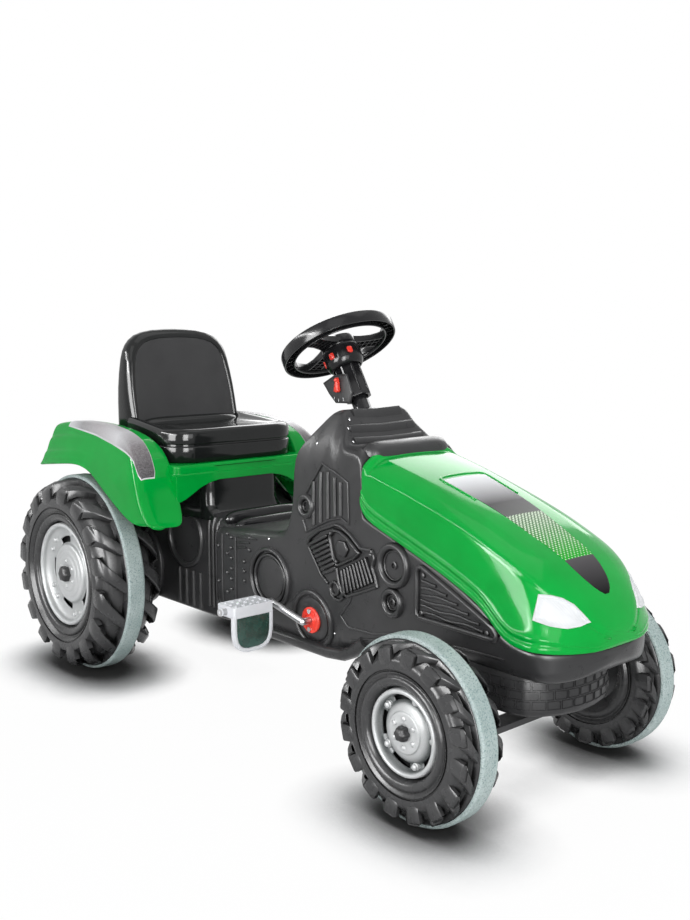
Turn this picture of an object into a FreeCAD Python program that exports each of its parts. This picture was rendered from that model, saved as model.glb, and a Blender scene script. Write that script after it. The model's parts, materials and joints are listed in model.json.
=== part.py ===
import FreeCAD, Part
import math
import os
import re

import Sketcher
from FreeCAD import Placement, Rotation, Vector

# Every length is in millimetres. X points forward, Y to the driver's left, Z up from the ground.
# Outlines are kept as shares. The body's are of the wheelbase ahead of the rear axle, of the rise
# from the belly over the front axle to the dash's top, and of the body's half width. The pedestal's
# heights are of the deck's height, the fenders' places of their own length and rise.

DOC = FreeCAD.newDocument("ride_on_tractor")
SHEET = DOC.addObject("Spreadsheet::Sheet", "sizes")

SIZES = {
    "wheelbase": 750,
    "rear_axle_x": -369.5,
    "rear_track": 346,
    "front_track": 338,
    "dash_height": 447,
    "body_half_width": 88,
    "wall": 3.5,
    "seat_gap": 0.3,
    "run_clearance": 0.05,
    "slot_play": 0.6,
    "axle_radius": 6,
    "rear_band_radius": 158,
    "rear_band_width": 28,
    "rear_half_width": 52,
    "rear_lug_radius": 144,
    "rear_lug_height": 11,
    "rear_lug_width": 19,
    "rear_rim_radius": 82,
    "rear_rim_face": 41,
    "rear_rim_dish": 15,
    "rear_disc_inset": 12,
    "rear_cap_radius": 13,
    "front_band_radius": 108,
    "front_band_width": 25,
    "front_half_width": 30,
    "front_lug_radius": 99,
    "front_lug_height": 8,
    "front_lug_width": 13,
    "front_rim_radius": 49,
    "front_rim_face": 23,
    "front_rim_dish": 10,
    "front_disc_inset": 8,
    "front_cap_radius": 9,
    "band_thickness": 5,
    "tyre_wall": 4,
    "hub_radius": 14,
    "rim_flange": 3,
    "rim_lap": 8,
    "bead_height": 2,
    "bead_width": 9,
    "cap_height": 12,
    "cap_grip": 6,
    "pedestal_half_width": 72,
    "boss_base_radius": 62,
    "boss_end_radius": 32,
    "boss_reach": 126,
    "rail_half_opening": 66,
    "bush_sleeve_radius": 9,
    "bush_sleeve_length": 8,
    "rear_bush_flange_radius": 16,
    "crank_bush_flange_radius": 18,
    "crank_bush_flange": 4,
    "screw_head_radius": 3.2,
    "screw_head_height": 2,
    "screw_shank_radius": 1.5,
    "screw_shank_length": 12,
    "screw_spread": 12.5,
    "crank_radius": 5,
    "crank_arm": 70,
    "crank_half_throw": 104,
    "pedal_pin_length": 88,
    "pedal_clear": 12,
    "pedal_half_length": 20,
    "pedal_half_width": 33,
    "pedal_thickness": 16,
    "pedal_loop_drop": 62,
    "pedal_loop_bar": 7,
    "pedal_panel_thickness": 2.5,
    "pedal_cap_radius": 9,
    "pedal_cap_length": 7,
    "chain_pitch": 12.7,
    "chain_y": 30,
    "roller_radius": 3.9,
    "roller_half_width": 1.9,
    "link_plate": 1,
    "link_half_height": 4.6,
    "sprocket_thickness": 3,
    "tooth_height": 3,
    "sprocket_hub_radius": 12,
    "sprocket_hub_length": 10,
    "column_rise": 79.5,
    "foot_setback": 79.5,
    "shaft_radius": 6,
    "steer_crank": 34,
    "steer_pin_radius": 4,
    "steer_pin_length": 38,
    "wheel_rim_radius": 82,
    "wheel_rim_width": 16,
    "wheel_rim_height": 18,
    "wheel_rim_wall": 2.5,
    "spoke_width": 22,
    "spoke_height": 8,
    "wheel_hub_radius": 24,
    "wheel_hub_height": 15,
    "collar_radius": 23,
    "collar_length": 18,
    "tab_width": 7,
    "tab_height": 10,
    "tab_depth": 4,
    "tube_radius": 12,
    "tube_top": 34,
    "tube_length": 116,
    "sleeve_flat": 17,
    "sleeve_top": 30,
    "sleeve_length": 54,
    "plate_thickness": 3,
    "lever_thickness": 4,
    "lever_pin_radius": 3,
    "lever_length": 22,
    "lever_half_width": 5,
    "beam_half_depth": 18,
    "belly_rise": 60,
    "beam_rise": 10,
    "block_rise": 14,
    "web_reach": 84,
    "web_thickness": 10,
    "ear_reach": 120,
    "ear_height": 12,
    "kingpin_offset": 106,
    "kingpin_radius": 5,
    "kingpin_head_radius": 8,
    "kingpin_head": 4,
    "knuckle_radius": 11,
    "knuckle_height": 31,
    "knuckle_arm": 38,
    "arm_thickness": 10,
    "arm_half_width": 6,
    "slide_thickness": 7,
    "slide_half_depth": 13,
    "slide_end": 12,
    "tongue_half_width": 15,
    "pin_head_radius": 8,
    "pin_head": 3,
    "bracket_half_width": 18,
    "bracket_rise": 26,
    "bracket_depth": 20,
    "bracket_length": 106,
    "deck_clear": 28,
    "deck_depth": 26,
    "deck_front": 203,
    "deck_back": -105,
    "fender_inner": 128,
    "fender_crease": 166,
    "fender_skirt": 197,
    "fender_rise": 55,
    "fender_length": 328,
    "seat_back_x": -28,
    "seat_front_x": 186,
    "seat_rear_half_width": 101,
    "seat_front_half_width": 94,
    "seat_pan_rise": 50,
    "seat_back_rise": 151,
    "seat_corner": 28,
    "seat_back_foot": 78,
    "seat_back_tip": 40,
    "seat_recess": 8,
    "seat_border": 18,
    "seat_bolt_radius": 4,
    "seat_bolt_head_radius": 8,
    "seat_bolt_head": 5,
    "seat_bolt_length": 14,
    "seat_bolt_x": 70,
    "seat_bolt_y": 45,
    "seat_boss_radius": 10,
    "hitch_half_width": 22,
    "hitch_reach": 72,
    "hitch_thickness": 8,
    "hitch_height": 150,
    "hitch_hole_radius": 6,
    "hitch_hole_margin": 18,
}

column_share = 0.56533
crank_share = 0.6264
lamp_back_share = 1.1173
mouth_back_share = -0.1
mouth_front_share = 0.8587

# Places that follow from the sizes above.
DERIVED = {
    "belly_height": "front_band_radius + belly_rise",
    "beam_underside": "front_band_radius + beam_rise",
    "block_underside": "front_band_radius + block_rise",
    "bracket_underside": "front_band_radius + bracket_rise",
    "bracket_top": "bracket_underside + bracket_depth",
    "bracket_back": "wheelbase - beam_half_depth - bracket_length",
    "deck_top": "2 * rear_band_radius + deck_clear",
    "deck_underside": "deck_top - deck_depth",
    "fender_crease_height": "deck_top + fender_rise",
    "seat_pan_top": "deck_top + seat_pan_rise",
    "seat_top": "seat_pan_top + seat_back_rise",
    "lamp_back_x": "%.4f * wheelbase" % lamp_back_share,
    "mouth_back": "wall + %.4f * wheelbase" % mouth_back_share,
    "mouth_front": "%.4f * wheelbase" % mouth_front_share,
    "mouth_top": "belly_height - 2 * wall",
    "column_x": "%.5f * wheelbase" % column_share,
    "column_z": "dash_height + column_rise",
    "column_run": "wheelbase - foot_setback - column_x",
    "column_drop": "column_z - front_band_radius",
    "shaft_length": "sqrt(column_run ^ 2 + column_drop ^ 2)",
}

for row, (alias, value) in enumerate(SIZES.items(), start=1):
    SHEET.set("A%d" % row, alias)
    SHEET.set("B%d" % row, str(value))
    SHEET.setAlias("B%d" % row, alias)
for row, (alias, formula) in enumerate(DERIVED.items(), start=len(SIZES) + 1):
    SHEET.set("A%d" % row, alias)
    SHEET.set("B%d" % row, "=" + formula)
    SHEET.setAlias("B%d" % row, alias)
DOC.recompute()

crank_tooth_count = 24
rear_tooth_count = 20
lug_count = 16
rim_slot_count = 5
crank_rest_degrees = 168
spoke_degrees = (75, -75, 180)
tab_degrees = (20, -70, -160)

belly_shares = [
    (0.3200, -0.1290), (0.4000, -0.2079), (0.4600, -0.2401), (0.6533, -0.2401), (0.7267, -0.1254),
    (0.8533, -0.0358), (0.9200, 0.0000), (1.1333, 0.0000), (1.1800, 0.0287), (1.1960, 0.0789),
]
seam_shares = [
    (1.1960, 0.1254), (1.1333, 0.1362), (1.0960, 0.1470), (1.0733, 0.1828), (1.0440, 0.2581),
    (0.9613, 0.3477), (0.8533, 0.4427), (0.7560, 0.5233),
]
dash_shares = [
    (0.7560, 0.7921), (0.7493, 0.8387), (0.7333, 0.8566), (0.7227, 0.8495), (0.7173, 0.9749),
    (0.7067, 1.0000), (0.6493, 1.0000), (0.6267, 0.9606), (0.5773, 0.7885), (0.5747, 0.5376),
    (0.5667, 0.4588), (0.5467, 0.4265), (0.4400, 0.3835), (0.3493, 0.3369), (0.3240, 0.2939),
]
pedestal_shares = [
    (-0.1000, 0.3634), (-0.0733, 0.3023), (0.4400, 0.3023), (0.4400, 0.7267), (0.2867, 0.7994),
    (0.2707, 0.8430), (0.2600, 0.9230),
]
plan_shares = [
    (0.3147, 1.0000), (0.7560, 1.0000), (0.8533, 1.0341), (0.9613, 1.0795), (1.0440, 1.1250),
    (1.0960, 1.1591), (1.1333, 1.1705), (1.1667, 0.9659), (1.1867, 0.6250), (1.1960, 0.3409),
]
section_shares = [
    (0.8636, -0.2409), (0.9773, -0.1900), (1.0000, -0.1004), (1.0227, 0.0000), (1.1818, 0.1326),
    (1.1818, 0.5448), (1.0000, 0.7885), (0.7955, 0.9677), (0.7273, 1.0007),
]
# Hood stations: x, lower half width, seam height, shoulder half width and height,
# crown half width and height, top height.
hood_shares = [
    (0.7565, 1.0000, 0.5233, 1.0000, 0.7312, 0.7045, 0.7921, 0.8136),
    (0.8533, 1.0341, 0.4427, 1.0227, 0.6595, 0.7045, 0.7240, 0.7491),
    (0.9613, 1.0795, 0.3477, 1.0455, 0.5627, 0.6818, 0.6272, 0.6523),
    (1.0440, 1.1250, 0.2581, 1.0568, 0.4659, 0.6591, 0.5305, 0.5556),
    (1.0733, 1.1420, 0.1828, 1.0568, 0.4265, 0.6500, 0.4921, 0.5179),
    (1.0960, 1.1591, 0.1470, 1.0568, 0.3943, 0.6364, 0.4624, 0.4875),
    (1.1333, 1.1705, 0.1362, 0.9773, 0.3118, 0.5682, 0.3907, 0.4194),
    (1.1667, 0.9659, 0.1305, 0.7500, 0.2760, 0.4318, 0.3190, 0.3405),
    (1.1867, 0.6250, 0.1269, 0.4773, 0.2151, 0.3182, 0.2437, 0.2581),
    (1.1960, 0.3409, 0.1254, 0.2727, 0.1720, 0.1818, 0.1864, 0.1935),
]
lamp_shares = [
    (0.3750, 0.2258), (0.9318, 0.3262), (1.2200, 0.3333), (1.2200, 0.2068), (0.7000, 0.1925),
]
fender_top_shares = [
    (0.0000, 0.5091), (0.0213, 0.8364), (0.1982, 0.9636), (0.5030, 0.9273), (0.7165, 0.7455),
    (0.8232, 0.3636), (0.8902, -0.3455), (0.9695, -1.3455), (1.0000, -1.6000),
]
fender_edge_shares = [
    (0.8994, -1.3818), (0.8079, -0.9636), (0.6768, -0.4182), (0.4390, -0.0545), (0.0000, -0.3273),
]
# Seat back outline: shares of the rear half width and of the height from pan to top.
seat_back_shares = [
    (1.0000, -0.1000), (0.9800, 0.3800), (0.9250, 0.6800), (0.8450, 0.8350), (0.6500, 0.9400),
    (0.3000, 0.9930),
]
block_shares = [(1.0240, 0.9300), (1.0870, 0.9300), (1.1270, 0.7000), (1.1490, 0.2900)]
# Gear plate corners and lever pivot on the column: shares of the sleeve's length, ahead and up.
gear_plate_shares = [
    (-0.6560, -0.7460), (-0.1570, -0.7800), (0.2440, -0.9700), (0.2110, -1.4670), (0.0000, -1.6890),
    (-0.4760, -1.4280), (-0.5890, -1.1020),
]
lever_pivot_shares = (-0.0656, -0.9780)
tooth_lean_share = 0.7
lug_sweep_share = 1.4
lug_overrun_share = 1.2
rim_step_shares = (0.8, 0.6, 0.46)
rim_centre_share = 0.3
rim_hole_shares = (0.7, 0.09)
cap_edge_share = 0.7
cap_bore_share = 0.5
loop_knee_shares = (0.72, 0.86)
loop_foot_share = 0.3
corner_cut_share = 0.3
shoulder_share = 1.5
peg_travel_share = 0.11
pin_travel_share = 0.16
steer_arm_share = 0.9
hub_bite_share = 0.8
collar_foot_shares = (0.85, 0.6)
tab_place_share = 0.35
tab_stand_share = 1.35
drop_shares = (0.6, 0.8)

NODES = []


def size(alias):
    return float(SHEET.get(alias))


def body_height(share):
    belly = size("belly_height")
    return belly + share * (size("dash_height") - belly)


def cells(text):
    return re.sub(r"[a-z_]+", lambda word: "sizes." + word.group(), text)


def keep(piece, label, x="0", y="0", z="0", turn=None):
    """Names a finished sub-part and binds its place; x counts from the rear axle."""
    piece.Label = label
    if turn:
        piece.Placement = Placement(Vector(), turn)
    piece.setExpression(".Placement.Base.x", "sizes.rear_axle_x + " + cells(x))
    piece.setExpression(".Placement.Base.y", cells(y))
    piece.setExpression(".Placement.Base.z", cells(z))
    NODES.append(piece)
    return piece


def solid(name, *shapes):
    """A document object for a shape that no primitive or body gives; many shapes stay apart."""
    piece = DOC.addObject("Part::Feature", name)
    piece.Shape = shapes[0] if len(shapes) == 1 else Part.makeCompound(list(shapes))
    return piece


def bound(kind, name, lengths, base=("0", "0", "0"), turn=None):
    """A Part primitive with its lengths and its place bound to the sheet."""
    piece = DOC.addObject("Part::" + kind, name)
    for length, text in lengths.items():
        piece.setExpression(length, cells(text))
    if turn:
        piece.Placement = Placement(Vector(), turn)
    for letter, text in zip("xyz", base):
        piece.setExpression(".Placement.Base." + letter, cells(text))
    return piece


def rod(name, radius, length, base=("0", "0", "0"), turn=None):
    return bound("Cylinder", name, {"Radius": radius, "Height": length}, base, turn)


def block(name, length, width, height, base=("0", "0", "0"), turn=None):
    lengths = {"Length": length, "Width": width, "Height": height}
    return bound("Box", name, lengths, base, turn)


def joined(name, pieces):
    whole = DOC.addObject("Part::MultiFuse", name)
    whole.Shapes = pieces
    return whole


def cut(name, base, tool):
    rest = DOC.addObject("Part::Cut", name)
    rest.Base = base
    rest.Tool = tool
    return rest


def origin_plane(body, role):
    return next(part for part in body.Origin.OriginFeatures if part.Role == role)


def outline(body, role, points):
    """A sketch on one of the body's own planes; every corner is bound by two lengths."""
    sketch = body.newObject("Sketcher::SketchObject", body.Name + "_outline")
    sketch.AttachmentSupport = [(origin_plane(body, role), "")]
    sketch.MapMode = "FlatFace"
    count = len(points)
    rough = size("wall")
    corners = []
    for index in range(count):
        angle = 2 * math.pi * index / count
        corners.append(Vector(rough * (2 + math.cos(angle)), rough * math.sin(angle), 0))
    for index in range(count):
        sketch.addGeometry(Part.LineSegment(corners[index], corners[(index + 1) % count]), False)
    for index in range(count):
        following = (index + 1) % count
        sketch.addConstraint(Sketcher.Constraint("Coincident", index, 2, following, 1))
    for index, (across, along) in enumerate(points):
        for kind, text, now in (
            ("DistanceX", across, corners[index].x),
            ("DistanceY", along, corners[index].y),
        ):
            number = sketch.addConstraint(Sketcher.Constraint(kind, -1, 1, index, 1, now))
            sketch.setExpression("Constraints[%d]" % number, cells(text))
    return sketch


def turned(name, role, points):
    """A body of revolution about its own second sketch axis."""
    body = DOC.addObject("PartDesign::Body", name)
    sketch = outline(body, role, points)
    turn = body.newObject("PartDesign::Revolution", name + "_turn")
    turn.Profile = sketch
    turn.ReferenceAxis = (sketch, ["V_Axis"])
    turn.Angle = 360
    body.Tip = turn
    return body


def padded(name, role, points, length):
    body = DOC.addObject("PartDesign::Body", name)
    sketch = outline(body, role, points)
    pad = body.newObject("PartDesign::Pad", name + "_pad")
    pad.Profile = sketch
    pad.setExpression("Length", cells(length))
    body.Tip = pad
    return body


def face_of(points):
    return Part.Face(Part.makePolygon(list(points) + [points[0]]))


def inset(face, depth):
    return face.makeOffset2D(-depth, 2) if depth else face


def side_points(shares):
    return [Vector(x * size("wheelbase"), 0, body_height(z)) for x, z in shares]


def side_prism(points, reach, depth=0.0):
    """A side outline drawn out to both sides of the middle plane."""
    face = inset(face_of(points), depth)
    face.translate(Vector(0, -reach, 0))
    return face.extrude(Vector(0, 2 * reach, 0))


def ring(profile, axis=Vector(0, 1, 0)):
    """A solid of revolution about Y from (radius, along) pairs."""
    return face_of([Vector(radius, along, 0) for radius, along in profile]).revolve(
        Vector(), axis, 360
    )


UPRIGHT = Rotation()
TO_LEFT = Rotation(Vector(1, 0, 0), -90)
TO_RIGHT = Rotation(Vector(1, 0, 0), 90)
LEAN = math.atan2(size("column_run"), size("column_drop"))
COLUMN = Rotation(Vector(0, 1, 0), -math.degrees(LEAN))
SIDES = (("right", -1), ("left", 1))


def outward(side):
    return TO_LEFT if side > 0 else TO_RIGHT


def sided(text, side):
    return text if side > 0 else "-1 * (%s)" % text


# Drive: an even number of links near the crank's place, and the centre distance that closes them.


def pitch_radius(count):
    return size("chain_pitch") / (2 * math.sin(math.pi / count))


CRANK_PITCH = pitch_radius(crank_tooth_count)
REAR_PITCH = pitch_radius(rear_tooth_count)


def links_for(centre):
    lean = math.asin((CRANK_PITCH - REAR_PITCH) / centre)
    straight = 2 * centre * math.cos(lean) / size("chain_pitch")
    front = (0.5 + lean / math.pi) * crank_tooth_count
    rear = (0.5 - lean / math.pi) * rear_tooth_count
    return straight + front + rear


chain_link_count = 2 * round(links_for(crank_share * size("wheelbase")) / 2)


def centre_distance():
    low = CRANK_PITCH + REAR_PITCH
    high = chain_link_count * size("chain_pitch")
    for _ in range(60):
        middle = (low + high) / 2
        if links_for(middle) < chain_link_count:
            low = middle
        else:
            high = middle
    return low


CRANK_X = centre_distance()
CHAIN_LEAN = math.asin((CRANK_PITCH - REAR_PITCH) / CRANK_X)
crank_z = "rear_band_radius"


def chain_points():
    """Roller centres (x, z) from the rear axle, walked one pitch at a time round the loop."""
    straight = CRANK_X * math.cos(CHAIN_LEAN) / size("chain_pitch")
    front = (0.5 + CHAIN_LEAN / math.pi) * crank_tooth_count
    rear = (0.5 - CHAIN_LEAN / math.pi) * rear_tooth_count
    top = math.pi / 2 + CHAIN_LEAN
    spots = []
    for index in range(chain_link_count):
        left = index
        if left < front:
            angle = top - 2 * math.pi * left / crank_tooth_count
            spots.append((CRANK_X + CRANK_PITCH * math.cos(angle), CRANK_PITCH * math.sin(angle)))
            continue
        left -= front
        if left < straight:
            share = left / straight
            start = (CRANK_X + CRANK_PITCH * math.cos(-top), CRANK_PITCH * math.sin(-top))
            end = (REAR_PITCH * math.cos(-top), REAR_PITCH * math.sin(-top))
            spots.append(tuple(a + (b - a) * share for a, b in zip(start, end)))
            continue
        left -= straight
        if left < rear:
            angle = -top - 2 * math.pi * left / rear_tooth_count
            spots.append((REAR_PITCH * math.cos(angle), REAR_PITCH * math.sin(angle)))
            continue
        share = (left - rear) / straight
        start = (REAR_PITCH * math.cos(top), REAR_PITCH * math.sin(top))
        end = (CRANK_X + CRANK_PITCH * math.cos(top), CRANK_PITCH * math.sin(top))
        spots.append(tuple(a + (b - a) * share for a, b in zip(start, end)))
    return spots


def link_plate(start, end, near, far):
    """A flat link with round ends between two roller centres, from y near to y far."""
    along = Vector(end[0] - start[0], 0, end[1] - start[1])
    along.normalize()
    across = Vector(-along.z, 0, along.x) * size("link_half_height")
    tip = along * size("link_half_height")
    head = Vector(start[0], near, start[1])
    tail = Vector(end[0], near, end[1])
    edges = [
        Part.makeLine(head + across, tail + across),
        Part.Arc(tail + across, tail + tip, tail - across).toShape(),
        Part.makeLine(tail - across, head - across),
        Part.Arc(head - across, head - tip, head + across).toShape(),
    ]
    return Part.Face(Part.Wire(edges)).extrude(Vector(0, far - near, 0))


def drive_chain():
    spots = chain_points()
    half = size("roller_half_width")
    plate = size("link_plate")
    pieces = []
    for index in range(0, chain_link_count, 2):
        start, end = spots[index], spots[index + 1]
        after = spots[(index + 2) % chain_link_count]
        inner = [link_plate(start, end, half, half + plate)]
        inner.append(link_plate(start, end, -half - plate, -half))
        for x, z in (start, end):
            inner.append(
                Part.makeCylinder(
                    size("roller_radius"), 2 * half, Vector(x, -half, z), Vector(0, 1, 0)
                )
            )
        pieces.append(inner[0].multiFuse(inner[1:]).removeSplitter())
        pieces.append(link_plate(end, after, half + plate, half + 2 * plate))
        pieces.append(link_plate(end, after, -half - 2 * plate, -half - plate))
    return pieces


def sprocket(count, pitch, first, bore):
    """A toothed disc with round seats for the rollers, the first at the angle given."""
    thick = size("sprocket_thickness")
    seat = size("roller_radius") + size("seat_gap")
    tip = pitch + size("tooth_height")
    low = Vector(0, -thick / 2, 0)
    axis = Vector(0, 1, 0)
    disc = Part.makeCylinder(tip, thick, low, axis)
    hub = Part.makeCylinder(size("sprocket_hub_radius"), size("sprocket_hub_length"), low, axis)
    slots = []
    for index in range(count):
        hole = Part.makeCylinder(seat, thick, low + Vector(pitch, 0, 0), axis)
        flare = seat * (1 + tooth_lean_share)
        corners = ((pitch, -seat), (pitch + 2 * seat, -flare), (pitch + 2 * seat, flare), (pitch, seat))
        mouth = face_of([low + Vector(x, 0, z) for x, z in corners]).extrude(axis * thick)
        slot = hole.fuse(mouth)
        slot.rotate(Vector(), axis, -math.degrees(first + 2 * math.pi * index / count))
        slots.append(slot)
    shaft = Part.makeCylinder(bore, 2 * size("sprocket_hub_length"), low * 2, axis)
    return disc.fuse(hub).cut(Part.makeCompound(slots)).cut(shaft).removeSplitter()


def crank_spot(side):
    """Pedal pin centre (x, z) for the side's crank arm as it stands in the rest pose."""
    angle = math.radians(crank_rest_degrees + (0 if side < 0 else 180))
    reach = size("crank_arm")
    return CRANK_X + reach * math.cos(angle), size("rear_band_radius") + reach * math.sin(angle)


# Wheels.


def tyre_shape(kind):
    """Hollow moulded tyre with its inner disc and hub; the open side is outboard, +Y."""
    band = size(kind + "_band_radius") - size("band_thickness")
    half_band = size(kind + "_band_width") / 2
    half = size(kind + "_half_width")
    lug = size(kind + "_lug_radius")
    deep = size(kind + "_lug_height")
    rim = size(kind + "_rim_radius")
    face = size(kind + "_rim_face")
    wall = size("tyre_wall")
    hub = size("hub_radius")
    bore = size("axle_radius") + size("run_clearance")
    seat = face - size("rim_flange")
    bead = face + size("bead_height")
    bead_end = rim + size("bead_width")
    disc = size(kind + "_disc_inset") - half
    bulge = (bead_end + lug - deep) / 2
    hub_end = rim_centre(kind) - size("rim_flange")
    outer = [
        (rim - size("rim_lap"), seat), (rim + size("seat_gap"), seat),
        (rim + size("seat_gap"), bead), (bead_end, bead), (bulge, half), (lug - deep, half),
        (band - deep, half_band), (band, half_band), (band, -half_band),
        (band - deep, -half_band), (lug - deep, -half), (bulge, -half), (bead_end, disc),
        (bore, disc), (bore, hub_end), (hub, hub_end), (hub, disc + wall),
        (bead_end - wall, disc + wall),
    ]
    inner = [
        (bulge - wall, wall - half), (lug - deep - wall, wall - half),
        (band - deep - wall, -half_band), (band - deep - wall, half_band),
        (lug - deep - wall, half - wall), (bulge, half - wall), (bead_end, bead - wall),
        (rim - size("rim_lap"), seat - wall),
    ]
    carcass = ring(outer + inner)
    cover = ring([
        (band, half_band), (lug, half), (lug - 3 * deep, half + deep / 4), (bulge, half - wall),
        (lug - deep - wall, half - wall), (band - deep - wall, half_band),
    ])
    width = size(kind + "_lug_width")
    sweep = width * lug_sweep_share
    foot = [
        Vector(-width / 2, half_band, 0), Vector(width / 2, half_band, 0),
        Vector(width / 2 - sweep, half + deep, 0), Vector(-width / 2 - sweep, half + deep, 0),
    ]
    bar = face_of(foot).extrude(Vector(0, 0, lug * lug_overrun_share)).common(cover)
    mirrored = bar.mirror(Vector(), Vector(0, 1, 0))
    bars = []
    for index in range(lug_count):
        for shape, shift in ((bar, 0.0), (mirrored, 0.5)):
            lifted = shape.copy()
            lifted.rotate(Vector(), Vector(0, 1, 0), 360 * (index + shift) / lug_count)
            bars.append(lifted)
    return carcass.multiFuse(bars).removeSplitter()


def rim_centre(kind):
    return size(kind + "_rim_face") - rim_centre_share * size(kind + "_rim_dish")


def rim_piece(kind, name):
    """Dished silver disc with through slots; outboard is +Y."""
    rim = kind + "_rim_radius"
    face = kind + "_rim_face"
    dish = kind + "_rim_dish"
    floor = face + " - " + dish
    middle = "%s - %g * %s" % (face, rim_centre_share, dish)
    outer, inner, step = ["%s * %g" % (rim, share) for share in rim_step_shares]
    front = [
        (rim, face), (rim + " - rim_lap", face), (outer, floor), (inner, floor), (step, middle),
        ("axle_radius + run_clearance", middle),
    ]
    back = [(across, along + " - rim_flange") for across, along in reversed(front)]
    dished = turned(name + "_dish", "XY_Plane", front + back)
    holes = []
    ring_share, hole_share = rim_hole_shares
    for index in range(rim_slot_count):
        angle = 2 * math.pi * index / rim_slot_count
        base = (
            "%s * %.6f" % (rim, ring_share * math.cos(angle)),
            "0",
            "%s * %.6f" % (rim, ring_share * math.sin(angle)),
        )
        radius = "%s * %g" % (rim, hole_share)
        holes.append(rod("%s_hole_%d" % (name, index), radius, face, base, TO_LEFT))
    return cut(name, dished, joined(name + "_holes", holes))


def cap_piece(kind, name):
    """Push-on cap: blind hole over the axle's end; outboard is +Y from the rim's middle."""
    wide = kind + "_cap_radius"
    edge = " * %g" % cap_edge_share
    return turned(name, "XY_Plane", [
        ("axle_radius", "seat_gap"), (wide, "seat_gap"), (wide, "cap_height" + edge),
        (wide + edge, "cap_height"), ("0", "cap_height"), ("0", "cap_grip"),
        ("axle_radius", "cap_grip"),
    ])


def rim_middle(kind):
    return "%s_rim_face - %g * %s_rim_dish" % (kind, rim_centre_share, kind)


def wheel(kind, word, side, x, z):
    """The four pieces of one wheel, all centred on its axle."""
    y = sided(kind + "_track / 2", side)
    turn = UPRIGHT if side > 0 else Rotation(Vector(0, 0, 1), 180)
    shape = tyre_shape(kind)
    if side < 0:
        shape = shape.mirror(Vector(), Vector(0, 1, 0))
    keep(solid("%s_tyre_%s" % (kind, word), shape), "%s_tyre_%s" % (kind, word), x, y, z)
    half_band = kind + "_band_width / 2"
    outer = kind + "_band_radius"
    band = turned("%s_band_%s" % (kind, word), "XY_Plane", [
        (outer + " - band_thickness", "-1 * " + half_band),
        (outer + " - 1.5 * seat_gap", "-1 * " + half_band),
        (outer, "3 * seat_gap - " + half_band),
        (outer, half_band + " - 3 * seat_gap"),
        (outer + " - 1.5 * seat_gap", half_band), (outer + " - band_thickness", half_band),
    ])
    keep(band, "%s_band_%s" % (kind, word), x, y, z)
    rim = rim_piece(kind, "%s_rim_%s" % (kind, word))
    keep(rim, "%s_rim_%s" % (kind, word), x, y, z, turn)
    cap = cap_piece(kind, "%s_cap_%s" % (kind, word))
    middle = rim_middle(kind)
    keep(cap, "%s_cap_%s" % (kind, word), x, sided(kind + "_track / 2 + " + middle, side), z, turn)


for word, side in SIDES:
    wheel("rear", word, side, "0", "rear_band_radius")
    wheel("front", word, side, "wheelbase", "front_band_radius")


axle_half = "(rear_track / 2 + %s + cap_grip)" % rim_middle("rear")
axle = rod("rear_axle", "axle_radius", "2 * " + axle_half)
keep(axle, "rear_axle", "0", "-1 * " + axle_half, "rear_band_radius", TO_LEFT)

# Chain drive.

CRANK = "%.9f * wheelbase" % (CRANK_X / size("wheelbase"))
FIRST_SEAT = math.pi / 2 + CHAIN_LEAN
crank_wheel = sprocket(
    crank_tooth_count, CRANK_PITCH, FIRST_SEAT, size("crank_radius") + size("run_clearance")
)
keep(solid("crank_sprocket", crank_wheel), "crank_sprocket", CRANK, "chain_y", crank_z)
rear_phase = (chain_link_count - CRANK_X * math.cos(CHAIN_LEAN) / size("chain_pitch")) % 1
REAR_SEAT = FIRST_SEAT - 2 * math.pi * (1 - rear_phase) / rear_tooth_count
rear_wheel = sprocket(
    rear_tooth_count, REAR_PITCH, REAR_SEAT, size("axle_radius") + size("run_clearance")
)
keep(solid("rear_sprocket", rear_wheel), "rear_sprocket", "0", "chain_y", "rear_band_radius")
keep(solid("drive_chain", *drive_chain()), "drive_chain", "0", "chain_y", "rear_band_radius")


def crankshaft_shape():
    """One bent steel bar: main run, two arms and two pedal pins, from the crank's middle."""
    radius = size("crank_radius")
    throw = size("crank_half_throw")
    across = Vector(0, 1, 0)
    bars = [Part.makeCylinder(radius, 2 * throw, Vector(0, -throw, 0), across)]
    for _, side in SIDES:
        x, z = crank_spot(side)
        elbow = Vector(0, side * throw, 0)
        spot = Vector(x - CRANK_X, side * throw, z - size("rear_band_radius"))
        bars.append(Part.makeCylinder(radius, size("crank_arm"), elbow, spot - elbow))
        bars.append(Part.makeCylinder(radius, size("pedal_pin_length"), spot, across * side))
        bars.append(Part.makeSphere(radius, elbow))
        bars.append(Part.makeSphere(radius, spot))
    return bars[0].multiFuse(bars[1:]).removeSplitter()


keep(solid("crankshaft", crankshaft_shape()), "crankshaft", CRANK, "0", crank_z)


def pedal_shape():
    """Tread block round its pin with a D-shaped loop below, centred on the pin; +Y is outboard."""
    long = size("pedal_half_length")
    wide = size("pedal_half_width")
    thick = size("pedal_thickness")
    bar = size("pedal_loop_bar")
    tread = Part.makeBox(2 * long, 2 * wide, thick, Vector(-long, -wide, -thick / 2))
    outer = pedal_loop(0.0)
    inner = pedal_loop(bar)
    loop = outer.cut(inner)
    bore = size("crank_radius") + size("run_clearance")
    hole = Part.makeCylinder(bore, 4 * wide, Vector(0, -2 * wide, 0), Vector(0, 1, 0))
    return tread.fuse(loop).cut(hole).removeSplitter()


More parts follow.
